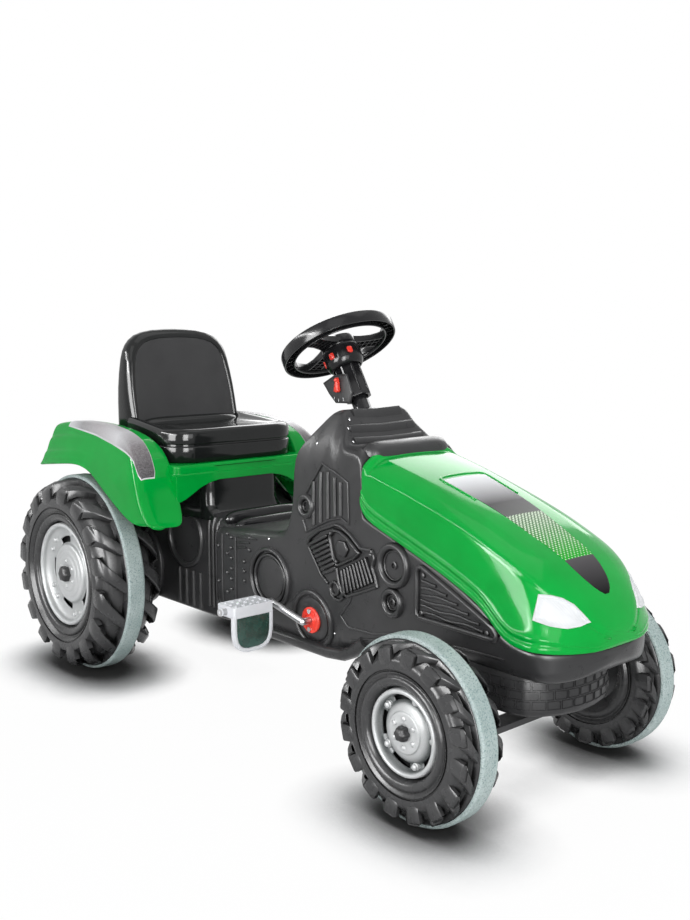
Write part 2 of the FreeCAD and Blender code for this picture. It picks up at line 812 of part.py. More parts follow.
def pedal_loop(depth):
    """The D outline below the tread, inset by depth, as a slab across the pedal's length."""
    wide = size("pedal_half_width")
    drop = size("pedal_loop_drop")
    bar = size("pedal_loop_bar")
    top = -size("pedal_thickness") / 2 + (0 if depth else bar / 2)
    knee = wide * loop_knee_shares[0] - depth / 2
    half = [
        (wide - depth, top), (wide - depth, -drop / 2), (knee, depth - drop * loop_knee_shares[1]),
        (wide * loop_foot_share, depth - drop),
    ]
    points = [Vector(0, y, z) for y, z in half] + [Vector(0, -y, z) for y, z in reversed(half)]
    face = face_of(points)
    face.translate(Vector(bar, 0, 0))
    return face.extrude(Vector(size("pedal_half_length") - bar, 0, 0))


def pedal_panel():
    """Flat dark panel that fills the loop, a seat gap inside it."""
    panel = pedal_loop(size("pedal_loop_bar") + size("seat_gap"))
    thick = size("pedal_panel_thickness")
    start = size("pedal_half_length") - 2 * thick
    wide = size("pedal_half_width")
    drop = size("pedal_loop_drop")
    slice_box = Part.makeBox(thick, 2 * wide, 2 * drop, Vector(start, -wide, -2 * drop))
    return panel.common(slice_box)


cap_bore = "pedal_cap_length * %g" % cap_bore_share
pedal_middle = "crank_half_throw + pedal_clear + pedal_half_width"
for word, side in SIDES:
    pin_x, pin_z = crank_spot(side)
    x = "%.9f * wheelbase" % (pin_x / size("wheelbase"))
    z = "%.9f * dash_height" % (pin_z / size("dash_height"))
    y = sided(pedal_middle, side)
    keep(solid("pedal_" + word, pedal_shape()), "pedal_" + word, x, y, z)
    keep(solid("pedal_panel_" + word, pedal_panel()), "pedal_panel_" + word, x, y, z)
    cap = turned("pedal_cap_" + word, "XY_Plane", [
        ("crank_radius", "0"), ("pedal_cap_radius", "0"),
        ("pedal_cap_radius", "pedal_cap_length"), ("0", "pedal_cap_length"),
        ("0", cap_bore), ("crank_radius", cap_bore),
    ])
    tip = sided("crank_half_throw + pedal_pin_length - " + cap_bore, side)
    turn = UPRIGHT if side > 0 else Rotation(Vector(0, 0, 1), 180)
    keep(cap, "pedal_cap_" + word, x, tip, z, turn)

# Body shell.


def wide_body(depth):
    """Footwell, dash, engine sides and nose: three outlines that cross, inset by depth."""
    side = side_points(belly_shares + seam_shares + dash_shares)
    reach = 2 * size("body_half_width")
    hull = side_prism(side, reach, depth)
    half = [Vector(x * size("wheelbase"), w * size("body_half_width"), 0) for x, w in plan_shares]
    mirrored = [Vector(point.x, -point.y, 0) for point in reversed(half)]
    plan = inset(face_of(half + mirrored), depth)
    plan = plan.extrude(Vector(0, 0, 2 * size("dash_height")))
    half = [
        Vector(0, w * size("body_half_width"), body_height(z)) for w, z in section_shares
    ]
    mirrored = [Vector(0, -point.y, point.z) for point in reversed(half)]
    section = inset(face_of(half + mirrored), depth)
    section = section.extrude(Vector(2 * size("wheelbase"), 0, 0))
    return hull.common(plan).common(section)


def pedestal(depth):
    """The box under the deck, up to a seat gap below the deck's plate."""
    deck = size("deck_top")
    points = [Vector(x * size("wheelbase"), 0, z * deck) for x, z in pedestal_shares]
    top = deck - size("wall") - size("seat_gap")
    points += [Vector(points[-1].x, 0, top), Vector(points[0].x, 0, top)]
    return side_prism(points, size("pedestal_half_width") - depth, depth)


def axle_boss(side, depth):
    base = size("boss_base_radius") - depth
    end = size("boss_end_radius") - depth
    foot = size("pedestal_half_width") - size("wall") - depth
    tip = size("boss_reach") - depth
    spot = Vector(0, side * foot, size("rear_band_radius"))
    return Part.makeCone(base, end, tip - foot, spot, Vector(0, side, 0))


def cross_bore(radius, x, z):
    reach = 2 * size("body_half_width")
    return Part.makeCylinder(radius, 2 * reach, Vector(x, -reach, z), Vector(0, 1, 0))


def column_frame(down):
    """Place on the steering column, a distance down from the wheel's middle."""
    x = size("column_x") + down * math.sin(LEAN)
    return Placement(Vector(x, 0, size("column_z") - down * math.cos(LEAN)), COLUMN)


def column_bore(radius):
    bore = Part.makeCylinder(radius, 2 * size("shaft_length"))
    bore.Placement = column_frame(size("shaft_length") * 1.5)
    return bore


def seat_bolt_spots():
    return [(size("seat_bolt_x"), side * size("seat_bolt_y")) for _, side in SIDES]


def screw_spots():
    return [(CRANK_X, crank_height() + shift * size("screw_spread")) for shift in (-1, 1)]


def crank_height():
    return size("rear_band_radius")


def body_shape():
    skin = wide_body(0.0).fuse(pedestal(0.0))
    hollow = wide_body(size("wall")).fuse(pedestal(size("wall")))
    for _, side in SIDES:
        skin = skin.fuse(axle_boss(side, 0.0))
        hollow = hollow.fuse(axle_boss(side, size("wall")))
    shell = skin.cut(hollow)
    rail = size("rail_half_opening")
    back = size("mouth_back")
    long = size("mouth_front") - back
    mouth = Part.makeBox(long, 2 * rail, size("mouth_top"), Vector(back, -rail, 0))
    tools = []
    fit = size("bush_sleeve_radius") + size("seat_gap")
    tools.append(cross_bore(fit, CRANK_X, crank_height()))
    tools.append(cross_bore(fit, 0, crank_height()))
    tools.append(column_bore(size("tube_radius") + size("seat_gap")))
    for x, z in screw_spots():
        tools.append(cross_bore(size("screw_shank_radius") + size("seat_gap"), x, z))
    fit = size("seat_bolt_radius") + size("seat_gap")
    for x, y in seat_bolt_spots():
        spot = Vector(x, y, size("deck_underside"))
        tools.append(Part.makeCylinder(fit, size("deck_top") - size("deck_underside"), spot))
    return shell.cut(mouth).cut(tools).removeSplitter()


keep(solid("body_shell", body_shape()), "body_shell")

# Hood and lamps.


def hood_loft(depth):
    """The hood's skin lofted through its stations; an inset copy opens at the seam and the back."""
    wires = []
    last = len(hood_shares) - 1
    for index, (x, low, seam, wide, shoulder, crown, edge, top) in enumerate(hood_shares):
        half = size("body_half_width")
        along = x * size("wheelbase") - depth * (3 * (index / last) - 1)
        points = [
            (low * half - depth, body_height(seam) + size("seat_gap") - 2 * depth),
            (wide * half - depth, body_height(shoulder) - depth),
            (crown * half - depth, body_height(edge) - depth),
            (0.0, body_height(top) - depth),
        ]
        right = [Vector(along, -y, z) for y, z in points]
        left = [Vector(along, y, z) for y, z in reversed(points[:-1])]
        loop = right + left
        wires.append(Part.makePolygon(loop + [loop[0]]))
    return Part.makeLoft(wires, True, True)


def lamp_tool(side, depth):
    """A bar along X with the lamp's outline, inset by depth."""
    back = size("lamp_back_x") + depth
    points = [
        Vector(back, side * y * size("body_half_width"), body_height(z)) for y, z in lamp_shares
    ]
    return inset(face_of(points), depth).extrude(Vector(size("body_half_width"), 0, 0))


hood_skin = hood_loft(0.0).cut(hood_loft(size("wall")))
hood_shell = hood_skin
for word, side in SIDES:
    hood_shell = hood_shell.cut(lamp_tool(side, 0.0))
    lens = hood_skin.common(lamp_tool(side, size("seat_gap")))
    keep(solid("headlamp_" + word, lens), "headlamp_" + word)
keep(solid("hood", hood_shell), "hood")

# Fenders and deck, one moulding.


def fender_points(shares):
    long = size("fender_length")
    rise = size("fender_rise")
    return [Vector(size("deck_back") + x * long, 0, size("deck_top") + z * rise) for x, z in shares]


def fender_prism(side, depth):
    """The fender's side outline crossed with its slanted section; the inset copy opens below."""
    points = fender_points(fender_top_shares)
    if depth:
        low = size("rear_band_radius") / 2
        points = points + [Vector(points[-1].x, 0, low), Vector(points[0].x, 0, low)]
    else:
        points = points + fender_points(fender_edge_shares)
    flank = inset(face_of(points), depth)
    flank = flank.extrude(Vector(0, side * 2 * size("fender_skirt"), 0))
    low = size("rear_band_radius") / 2 - 2 * depth
    top = size("fender_crease_height")
    section = [
        Vector(0, side * size("fender_inner"), low),
        Vector(0, side * size("fender_inner"), top),
        Vector(0, side * size("fender_crease"), top),
        Vector(0, side * (size("fender_skirt") - size("wall")), size("deck_underside")),
        Vector(0, side * size("fender_skirt"), low),
    ]
    section = inset(face_of(section), depth)
    section.translate(Vector(-size("wheelbase"), 0, 0))
    section = section.extrude(Vector(2 * size("wheelbase"), 0, 0))
    return flank.common(section)


def fender_deck_shape():
    wall = size("wall")
    inner = size("fender_inner") + wall
    back = size("deck_back")
    long = size("deck_front") - back
    deep = size("deck_top") - size("deck_underside")
    deck = Part.makeBox(long, 2 * inner, deep, Vector(back, -inner, size("deck_underside")))
    hollow = Part.makeBox(
        long - 2 * wall, 2 * (inner - wall), deep - wall,
        Vector(back + wall, wall - inner, size("deck_underside")),
    )
    tray = deck.cut(hollow)
    fenders = [fender_prism(side, 0.0).cut(fender_prism(side, wall)) for _, side in SIDES]
    shape = tray.multiFuse(fenders)
    hole = size("seat_bolt_radius") + size("seat_gap")
    for x, y in seat_bolt_spots():
        shape = shape.cut(Part.makeCylinder(hole, 2 * deep, Vector(x, y, size("deck_underside"))))
    return shape.removeSplitter()


keep(solid("fender_deck", fender_deck_shape()), "fender_deck")


def seat_back(depth, border):
    """Wedge of the seat back crossed with its outline from behind; depth and border inset it."""
    back = size("seat_back_x")
    pan = size("seat_pan_top")
    top = size("seat_top")
    side = [
        Vector(back + depth, 0, pan - size("seat_recess") * 2),
        Vector(back + size("seat_back_foot") + depth, 0, pan - size("seat_recess") * 2),
        Vector(back + size("seat_back_tip") + depth, 0, top),
        Vector(back + depth, 0, top),
    ]
    wedge = side_prism(side, 2 * size("seat_rear_half_width"))
    wide = size("seat_rear_half_width")
    half = [Vector(0, w * wide, pan + z * (top - pan)) for w, z in seat_back_shares]
    mirrored = [Vector(0, -point.y, point.z) for point in reversed(half)]
    shape = inset(face_of(half + mirrored), border)
    shape.translate(Vector(-size("wheelbase"), 0, 0))
    return wedge.common(shape.extrude(Vector(2 * size("wheelbase"), 0, 0)))


def seat_shape():
    back = size("seat_back_x")
    front = size("seat_front_x")
    low = size("deck_top")
    pan = size("seat_pan_top")
    corner = size("seat_corner")
    rear_half = size("seat_rear_half_width")
    front_half = size("seat_front_half_width")
    bite = corner * corner_cut_share
    half = [
        Vector(back, rear_half - corner, low), Vector(back + bite, rear_half - bite, low),
        Vector(back + corner, rear_half, low), Vector(front - corner, front_half, low),
        Vector(front - bite, front_half - bite, low), Vector(front, front_half - corner, low),
    ]
    base = face_of(half + [Vector(point.x, -point.y, low) for point in reversed(half)])
    cushion = base.extrude(Vector(0, 0, pan - low))
    border = size("seat_border")
    dip = inset(base, border)
    dip.translate(Vector(0, 0, pan - low - size("seat_recess")))
    dish = dip.extrude(Vector(0, 0, size("seat_recess") * 2))
    ceiling = pan - low - size("seat_recess") - size("wall")
    hollow = inset(base, size("wall")).extrude(Vector(0, 0, ceiling))
    panel = seat_back(0.0, 0.0).common(seat_back(size("seat_back_tip"), border))
    rest = seat_back(0.0, 0.0).cut(panel.cut(seat_back(-size("seat_recess"), 0.0)))
    shape = cushion.cut(dish).cut(hollow).fuse(rest)
    boss_tall = pan - low - size("seat_recess")
    for x, y in seat_bolt_spots():
        boss = Part.makeCylinder(size("seat_boss_radius"), boss_tall, Vector(x, y, low))
        hole = size("seat_bolt_radius") + size("seat_gap")
        drill = Part.makeCylinder(hole, size("seat_bolt_length"), Vector(x, y, low))
        shape = shape.fuse(boss).cut(drill)
    return shape.removeSplitter()


keep(solid("seat", seat_shape()), "seat")
for word, side in SIDES:
    head = rod("seat_bolt_head_" + word, "seat_bolt_head_radius", "seat_bolt_head")
    foot = ("0", "0", "seat_bolt_head")
    shank = rod("seat_bolt_shank_" + word, "seat_bolt_radius", "seat_bolt_length", foot)
    bolt = joined("seat_bolt_" + word, [head, shank])
    y = sided("seat_bolt_y", side)
    z = "deck_top - 2 * wall - seat_gap - seat_bolt_head"
    keep(bolt, "seat_bolt_" + word, "seat_bolt_x", y, z)

# Bushes, screws and hitch on the body.

for word, side in SIDES:
    turn = outward(side)
    for name, bore, flange_radius, flange, x, start in (
        ("rear_axle_bush_", "axle_radius", "rear_bush_flange_radius",
         "(rear_track / 2 + rear_disc_inset - rear_half_width - boss_reach - 2 * seat_gap)",
         "0", "boss_reach"),
        ("crank_bush_", "crank_radius", "crank_bush_flange_radius", "crank_bush_flange", CRANK,
         "body_half_width"),
    ):
        bush = turned(name + word + "_blank", "XZ_Plane", [
            (bore + " + run_clearance", "-1 * bush_sleeve_length"),
            ("bush_sleeve_radius", "-1 * bush_sleeve_length"), ("bush_sleeve_radius", "0"),
            (flange_radius, "0"), (flange_radius, flange), (bore + " + run_clearance", flange),
        ])
        if bore == "crank_radius":
            drills = []
            for shift in (-1, 1):
                spot = ("0", "%d * screw_spread" % shift, "-1 * " + flange)
                drill = "%s%s_drill_%d" % (name, word, shift)
                drills.append(rod(drill, "screw_shank_radius + seat_gap", flange + " * 3", spot))
            bush = cut(name + word, bush, joined(name + word + "_drills", drills))
        keep(bush, name + word, x, sided(start, side), "rear_band_radius", turn)
    screws = []
    for shift in (-1, 1):
        base = "%d * screw_spread" % shift
        mark = "%s_%d" % (word, shift)
        seat = ("0", base, "0")
        tip = ("0", base, "-1 * screw_shank_length")
        screws.append(joined("crank_screw_" + mark, [
            rod("screw_head_" + mark, "screw_head_radius", "screw_head_height", seat),
            rod("screw_shank_" + mark, "screw_shank_radius", "screw_shank_length", tip),
        ]))
    pair = DOC.addObject("Part::Compound", "crank_screws_" + word)
    pair.Links = screws
    y = sided("body_half_width + crank_bush_flange", side)
    keep(pair, "crank_screws_" + word, CRANK, y, "rear_band_radius", turn)

hitch_plate = block("hitch_plate", "hitch_reach", "2 * hitch_half_width", "hitch_thickness")
hitch_spot = ("hitch_hole_margin", "hitch_half_width", "0")
hitch_hole = rod("hitch_hole", "hitch_hole_radius", "hitch_thickness", hitch_spot)
keep(
    cut("tow_hitch", hitch_plate, hitch_hole), "tow_hitch",
    "%.6f * wheelbase - hitch_reach" % pedestal_shares[0][0], "-1 * hitch_half_width", "hitch_height",
)

# Front axle.


def axle_block_shape():
    """Beam with ears for the kingpins and the rounded block ahead of it, from the front axle."""
    belly = size("belly_height")
    deep = size("beam_half_depth")
    web = size("web_reach")
    thick = size("web_thickness")
    low = size("front_band_radius") - size("knuckle_height") / 2 - size("seat_gap")
    high = size("front_band_radius") + size("knuckle_height") / 2 + size("seat_gap")
    ear = size("ear_height")
    under = size("beam_underside")
    pieces = [Part.makeBox(2 * deep, 2 * web, belly - under, Vector(-deep, -web, under))]
    half = [
        Vector(x * size("wheelbase") - size("wheelbase"), w * size("body_half_width"), 0)
        for x, w in block_shares
    ]
    half[0].x = 0
    mirrored = [Vector(point.x, -point.y, 0) for point in reversed(half)]
    nose = face_of(half + mirrored)
    nose.translate(Vector(0, 0, size("block_underside")))
    pieces.append(nose.extrude(Vector(0, 0, belly - size("block_underside"))))
    for _, side in SIDES:
        inner = web - thick if side > 0 else -web
        tall = belly - low + ear
        pieces.append(Part.makeBox(2 * deep, thick, tall, Vector(-deep, inner, low - ear)))
        start = web - thick if side > 0 else -size("ear_reach")
        reach = size("ear_reach") - web + thick
        for z in (low - ear, high):
            pieces.append(Part.makeBox(2 * deep, reach, ear, Vector(-deep, start, z)))
    shape = pieces[0].multiFuse(pieces[1:])
    fit = size("kingpin_radius") + size("run_clearance")
    for _, side in SIDES:
        spot = Vector(0, side * size("kingpin_offset"), 0)
        shape = shape.cut(Part.makeCylinder(fit, 2 * size("front_band_radius"), spot))
    return shape.removeSplitter()


keep(solid("front_axle_block", axle_block_shape()), "front_axle_block", "wheelbase")

knuckle_low = "(front_band_radius - knuckle_height / 2 - seat_gap)"
for word, side in SIDES:
    y = sided("kingpin_offset", side)
    head = rod("kingpin_head_" + word, "kingpin_head_radius", "kingpin_head")
    shank = rod(
        "kingpin_shank_" + word, "kingpin_radius",
        "knuckle_height + 2 * ear_height + 2 * seat_gap + kingpin_head", ("0", "0", "kingpin_head"),
    )
    pin = joined("kingpin_" + word, [head, shank])
    keep(pin, "kingpin_" + word, "wheelbase", y, knuckle_low + " - ear_height - kingpin_head")

    turn = outward(side)
    barrel = rod("knuckle_barrel_" + word, "knuckle_radius", "knuckle_height",
                 ("0", "0", "-1 * knuckle_height / 2"))
    span = "front_track / 2 - kingpin_offset"
    reach = "%s + %s + cap_grip" % (span, rim_middle("front"))
    stub = rod("knuckle_stub_" + word, "axle_radius", reach, turn=turn)
    thick = "axle_radius * %g" % shoulder_share
    reach = span + " + front_disc_inset - front_half_width - 2 * seat_gap"
    shoulder = rod("knuckle_shoulder_" + word, thick, reach, turn=turn)
    arm = block("knuckle_arm_" + word, "knuckle_arm", "2 * arm_half_width", "arm_thickness",
                ("0", "-1 * arm_half_width", "-1 * arm_thickness / 2"))
    eye = rod("knuckle_eye_" + word, "pin_head_radius", "arm_thickness",
              ("knuckle_arm", "0", "-1 * arm_thickness / 2"))
    drop = "slide_thickness + 2 * seat_gap"
    peg = rod("knuckle_peg_" + word, "steer_pin_radius", drop,
              ("knuckle_arm", "0", "-1 * arm_thickness / 2 - (%s)" % drop))
    foot = rod("knuckle_foot_" + word, "pin_head_radius", "pin_head",
               ("knuckle_arm", "0", "-1 * arm_thickness / 2 - (%s) - pin_head" % drop))
    forged = joined("knuckle_forged_" + word, [barrel, stub, shoulder, arm, eye, peg, foot])
    bore = rod("knuckle_bore_" + word, "kingpin_radius + run_clearance", "2 * knuckle_height",
               ("0", "0", "-1 * knuckle_height"))
    keep(cut("knuckle_" + word, forged, bore), "knuckle_" + word, "wheelbase", y, "front_band_radius")

# Steering.


def steer_pin_x(height):
    """Where the shaft's lower pin crosses a height, from the rear axle."""
    foot = column_frame(size("shaft_length")).Base
    x = foot.x + size("steer_crank") * math.cos(LEAN)
    z = foot.z + size("steer_crank") * math.sin(LEAN)
    return x + (z - height) * math.tan(LEAN)


def slide_shape():
    """Flat cross bar with a slot for each knuckle peg and a tongue with one for the shaft's pin."""
    thick = size("slide_thickness")
    deep = size("slide_half_depth")
    half = size("kingpin_offset") + size("slide_end")
    tongue = size("tongue_half_width")
    play = size("slot_play")
    pin = size("steer_pin_radius")
    bar = Part.makeBox(2 * deep, 2 * half, thick, Vector(-deep, -half, 0))
    front = size("wheelbase") + size("knuckle_arm")
    middle = size("front_band_radius") - size("arm_thickness") / 2 - size("seat_gap") - thick / 2
    rest = steer_pin_x(middle) - front
    back = rest - 2 * deep
    bar = bar.fuse(Part.makeBox(deep - back, 2 * tongue, thick, Vector(back, -tongue, 0)))
    travel = size("knuckle_arm") * peg_travel_share
    for _, side in SIDES:
        spot = Vector(-pin - travel - play, side * size("kingpin_offset") - pin - play, 0)
        bar = bar.cut(Part.makeBox(2 * pin + travel + 2 * play, 2 * (pin + play), thick, spot))
    reach = pin / math.cos(LEAN) + play + thick * math.tan(LEAN) / 2
    travel = size("steer_crank") * pin_travel_share
    spot = Vector(rest - reach - travel, -pin - play, 0)
    return bar.cut(Part.makeBox(2 * reach + travel, 2 * (pin + play), thick, spot)).removeSplitter()


keep(
    solid("steering_slide", slide_shape()), "steering_slide", "wheelbase + knuckle_arm", "0",
    "front_band_radius - arm_thickness / 2 - seat_gap - slide_thickness",
)


def steering_shaft_shape():
    """Straight shaft with a short arm and a pin at its foot, in the column's own frame."""
    radius = size("shaft_radius")
    long = size("shaft_length")
    foot = Vector(0, 0, -long)
    arm_end = foot + Vector(size("steer_crank"), 0, 0)
    bite = size("wheel_hub_height") / 2 * hub_bite_share
    slim = radius * steer_arm_share
    pin = size("steer_pin_radius")
    bars = [
        Part.makeCylinder(radius, long + bite, foot),
        Part.makeCylinder(slim, size("steer_crank"), foot, Vector(1, 0, 0)),
        Part.makeSphere(radius, foot),
        Part.makeSphere(slim, arm_end),
        Part.makeCylinder(pin, size("steer_pin_length"), arm_end, Vector(0, 0, -1)),
    ]
    return bars[0].multiFuse(bars[1:]).removeSplitter()


def on_column(piece, label, y="0"):
    return keep(piece, label, "column_x", y, "column_z", COLUMN)


on_column(solid("steering_shaft", steering_shaft_shape()), "steering_shaft")

fit = "shaft_radius + run_clearance"
rim_low = "-1 * wheel_rim_height / 2"
rim_high = "wheel_rim_height / 2"
rim_in = "wheel_rim_radius - wheel_rim_width"
channel = turned("wheel_channel", "XZ_Plane", [
    ("wheel_rim_radius", rim_low), ("wheel_rim_radius", rim_high), (rim_in, rim_high),
    (rim_in, rim_low), (rim_in + " + wheel_rim_wall", rim_low),
    (rim_in + " + wheel_rim_wall", rim_high + " - wheel_rim_wall"),
    ("wheel_rim_radius - wheel_rim_wall", rim_high + " - wheel_rim_wall"),
    ("wheel_rim_radius - wheel_rim_wall", rim_low),
])
hub_foot = ("0", "0", "-1 * wheel_hub_height / 2")
hub = rod("wheel_hub", "wheel_hub_radius", "wheel_hub_height", hub_foot)
spokes = []
for index, degrees in enumerate(spoke_degrees):
    angle = math.radians(degrees)
    base = (
        "%.6f * spoke_width / 2" % math.sin(angle), "%.6f * spoke_width / 2" % -math.cos(angle),
        "-1 * spoke_height / 2",
    )
    spokes.append(block("wheel_spoke_%d" % index, rim_in + " + wheel_rim_wall / 2", "spoke_width",
                        "spoke_height", base, Rotation(Vector(0, 0, 1), degrees)))
moulded = joined("wheel_moulded", [channel, hub] + spokes)
bore = rod("wheel_bore", fit, "2 * wheel_hub_height", ("0", "0", "-1 * wheel_hub_height"))
on_column(cut("steering_wheel", moulded, bore), "steering_wheel")

collar_top = "-1 * (wheel_hub_height / 2 + seat_gap)"
ring_piece = turned("collar_ring", "XZ_Plane", [
    (fit, collar_top + " - collar_length"),
    ("collar_radius * %g" % collar_foot_shares[0], collar_top + " - collar_length"),
    ("collar_radius", collar_top + " - collar_length * %g" % collar_foot_shares[1]),
    ("collar_radius", collar_top),
    (fit, collar_top),
])
pockets = []
tabs = []
for index, degrees in enumerate(tab_degrees):
    angle = math.radians(degrees)
    middle = collar_top + " - collar_length * %g" % tab_place_share
    for found, name, play in (
        (pockets, "collar_pocket", "seat_gap"), (tabs, "collar_tab", "0 * seat_gap"),
    ):
        wide = "(tab_width + 2 * %s)" % play
        start = "(collar_radius - tab_depth - %s)" % play
        base = (
            "%.6f * %s + %.6f * %s / 2" % (math.cos(angle), start, math.sin(angle), wide),
            "%.6f * %s - %.6f * %s / 2" % (math.sin(angle), start, math.cos(angle), wide),
            middle + " - tab_height / 2 - " + play,
        )
        deep = "tab_depth * %g + %s" % (tab_stand_share, play)
        tall = "tab_height + 2 * " + play
        turn = Rotation(Vector(0, 0, 1), degrees)
        found.append(block("%s_%d" % (name, index), deep, wide, tall, base, turn))
collar = cut("hub_collar", ring_piece, joined("collar_pockets", pockets))
on_column(collar, "hub_collar")
tab_set = DOC.addObject("Part::Compound", "snap_tabs")
tab_set.Links = tabs
on_column(tab_set, "snap_tabs")

tube = turned("column_tube", "XZ_Plane", [
    (fit, "-1 * (tube_top + tube_length)"), ("tube_radius", "-1 * (tube_top + tube_length)"),
    ("tube_radius", "-1 * tube_top"), (fit, "-1 * tube_top"),
])
on_column(tube, "column_tube")

flute = DOC.addObject("Part::Prism", "sleeve_prism")
flute.Polygon = 8
flute.setExpression("Circumradius", "sizes.sleeve_flat / cos(22.5)")
flute.setExpression("Height", "sizes.sleeve_length")
flute.Placement = Placement(Vector(), Rotation(Vector(0, 0, 1), 22.5))
flute.setExpression(".Placement.Base.z", cells("-1 * (sleeve_top + sleeve_length)"))
bore_foot = ("0", "0", "-2 * sleeve_length - sleeve_top / 2")
bore = rod("sleeve_bore", "tube_radius + seat_gap", "2 * sleeve_length", bore_foot)
on_column(cut("column_sleeve", flute, bore), "column_sleeve")


def gear_plate_points():
    return [
        ("%.4f * sleeve_length" % ahead, "%.4f * sleeve_length" % up)
        for ahead, up in gear_plate_shares
    ]


plate = padded("gear_plate_blank", "XZ_Plane", gear_plate_points(), "plate_thickness")
ahead, up = lever_pivot_shares
pivot = ("%.4f * sleeve_length" % ahead, "2 * plate_thickness", "%.4f * sleeve_length" % up)
pin_fit = "lever_pin_radius + run_clearance"
hole = rod("gear_plate_hole", pin_fit, "4 * plate_thickness", pivot, TO_RIGHT)
on_column(cut("gear_plate", plate, hole), "gear_plate", "-1 * sleeve_flat")

narrow = "%g * lever_half_width" % drop_shares[0]
knee = "-%g * lever_length" % drop_shares[0]
crest = "%g * lever_half_width" % drop_shares[1]
drop_pad = padded("lever_drop", "XZ_Plane", [
    ("-" + narrow, crest), (narrow, crest), ("lever_half_width", knee),
    (narrow, "-1 * lever_length"), ("-" + narrow, "-1 * lever_length"),
    ("-1 * lever_half_width", knee),
], "lever_thickness")
pin_foot = ("0", "plate_thickness", "0")
lever_pin = rod("lever_pin", "lever_pin_radius", "plate_thickness", pin_foot, TO_RIGHT)
lever = joined("gear_lever", [drop_pad, lever_pin])
forward = ahead * math.cos(LEAN) - up * math.sin(LEAN)
rise = ahead * math.sin(LEAN) + up * math.cos(LEAN)
keep(
    lever, "gear_lever", "column_x + %.6f * sleeve_length" % forward,
    "-1 * sleeve_flat - plate_thickness - seat_gap", "column_z + %.6f * sleeve_length" % rise,
)


def bracket_shape():
    """Bearing block behind the beam that carries the shaft's lower end."""
    wide = size("bracket_half_width")
    front = size("wheelbase") - size("beam_half_depth")
    back = size("bracket_back")
    under = size("bracket_underside")
    tall = size("bracket_top") - under
    body = Part.makeBox(front - back, 2 * wide, tall, Vector(back, -wide, under))
    return body.cut(column_bore(size("shaft_radius") + size("run_clearance")))


keep(solid("steering_bracket", bracket_shape()), "steering_bracket")

# Checks and export.

DOC.recompute()
faults = [piece.Name for piece in DOC.Objects if {"Invalid", "Error"} & set(piece.State)]
for piece in NODES:
    if piece.Shape.isNull() or not piece.Shape.isValid():
        faults.append(piece.Label)
if faults:
    raise SystemExit("faulty objects: " + ", ".join(faults))
os.makedirs("parts", exist_ok=True)
for piece in NODES:
    piece.Shape.exportStep("parts/%s.step" % piece.Label)
print(len(NODES), "parts written")
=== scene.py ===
import json
import math

import bmesh
import bpy
from mathutils import Matrix, Vector
from mathutils.bvhtree import BVHTree

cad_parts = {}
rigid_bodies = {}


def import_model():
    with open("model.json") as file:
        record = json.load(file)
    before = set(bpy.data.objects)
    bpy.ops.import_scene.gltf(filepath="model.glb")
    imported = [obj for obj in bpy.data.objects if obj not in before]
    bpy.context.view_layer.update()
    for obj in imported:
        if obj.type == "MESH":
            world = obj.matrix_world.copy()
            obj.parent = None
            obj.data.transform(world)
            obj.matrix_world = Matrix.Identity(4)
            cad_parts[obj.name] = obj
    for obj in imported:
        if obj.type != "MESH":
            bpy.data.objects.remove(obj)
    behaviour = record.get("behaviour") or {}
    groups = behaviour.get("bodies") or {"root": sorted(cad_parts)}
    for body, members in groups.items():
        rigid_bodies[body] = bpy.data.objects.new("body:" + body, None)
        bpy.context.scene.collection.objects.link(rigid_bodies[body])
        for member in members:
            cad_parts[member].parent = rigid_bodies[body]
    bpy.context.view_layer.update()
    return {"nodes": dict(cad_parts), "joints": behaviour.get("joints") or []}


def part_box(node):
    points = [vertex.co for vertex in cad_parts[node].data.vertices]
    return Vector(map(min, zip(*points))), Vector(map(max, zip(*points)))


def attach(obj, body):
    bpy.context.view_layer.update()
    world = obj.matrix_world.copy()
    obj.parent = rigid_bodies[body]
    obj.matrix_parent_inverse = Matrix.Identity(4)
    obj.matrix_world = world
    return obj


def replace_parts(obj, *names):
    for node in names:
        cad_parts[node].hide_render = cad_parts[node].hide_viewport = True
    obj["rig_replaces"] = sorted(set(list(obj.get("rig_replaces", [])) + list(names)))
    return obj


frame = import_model()

# Places are in millimetres: x ahead of the rear axle, y to the driver's left, z above the ground.
MM = 0.001
SIDES = (("right", -1), ("left", 1))
joints = {joint["name"]: joint for joint in frame["joints"]}
REAR_AXLE = Vector(joints["rear_axle_spin"]["pos_m"])
FRONT_AXLE = Vector(joints["front_right_spin"]["pos_m"])
CRANK = Vector(joints["crank_spin"]["pos_m"])
COLUMN = Vector(joints["steering_turn"]["pos_m"])
LEVER = Vector(joints["gear_shift"]["pos_m"])


def spot(x, y, z):
    return Vector((REAR_AXLE.x + x * MM, y * MM, z * MM))


def clamped(share):
    return max(0.0, min(1.0, share))


def along(table, place, column=1):
    """A table's value at a place, in straight lines between its rows."""
    for low, high in zip(table, table[1:]):
        if place <= high[0]:
            share = (place - low[0]) / ((high[0] - low[0]) or 1)
            return low[column] + (high[column] - low[column]) * clamped(share)
    return table[-1][column]


def mixed(low, high, share):
    return low + (high - low) * share


def between(first, last, share):
    """A place on the straight line between two places."""
    return tuple(mixed(a, b, share) for a, b in zip(first, last))


# Finishes.


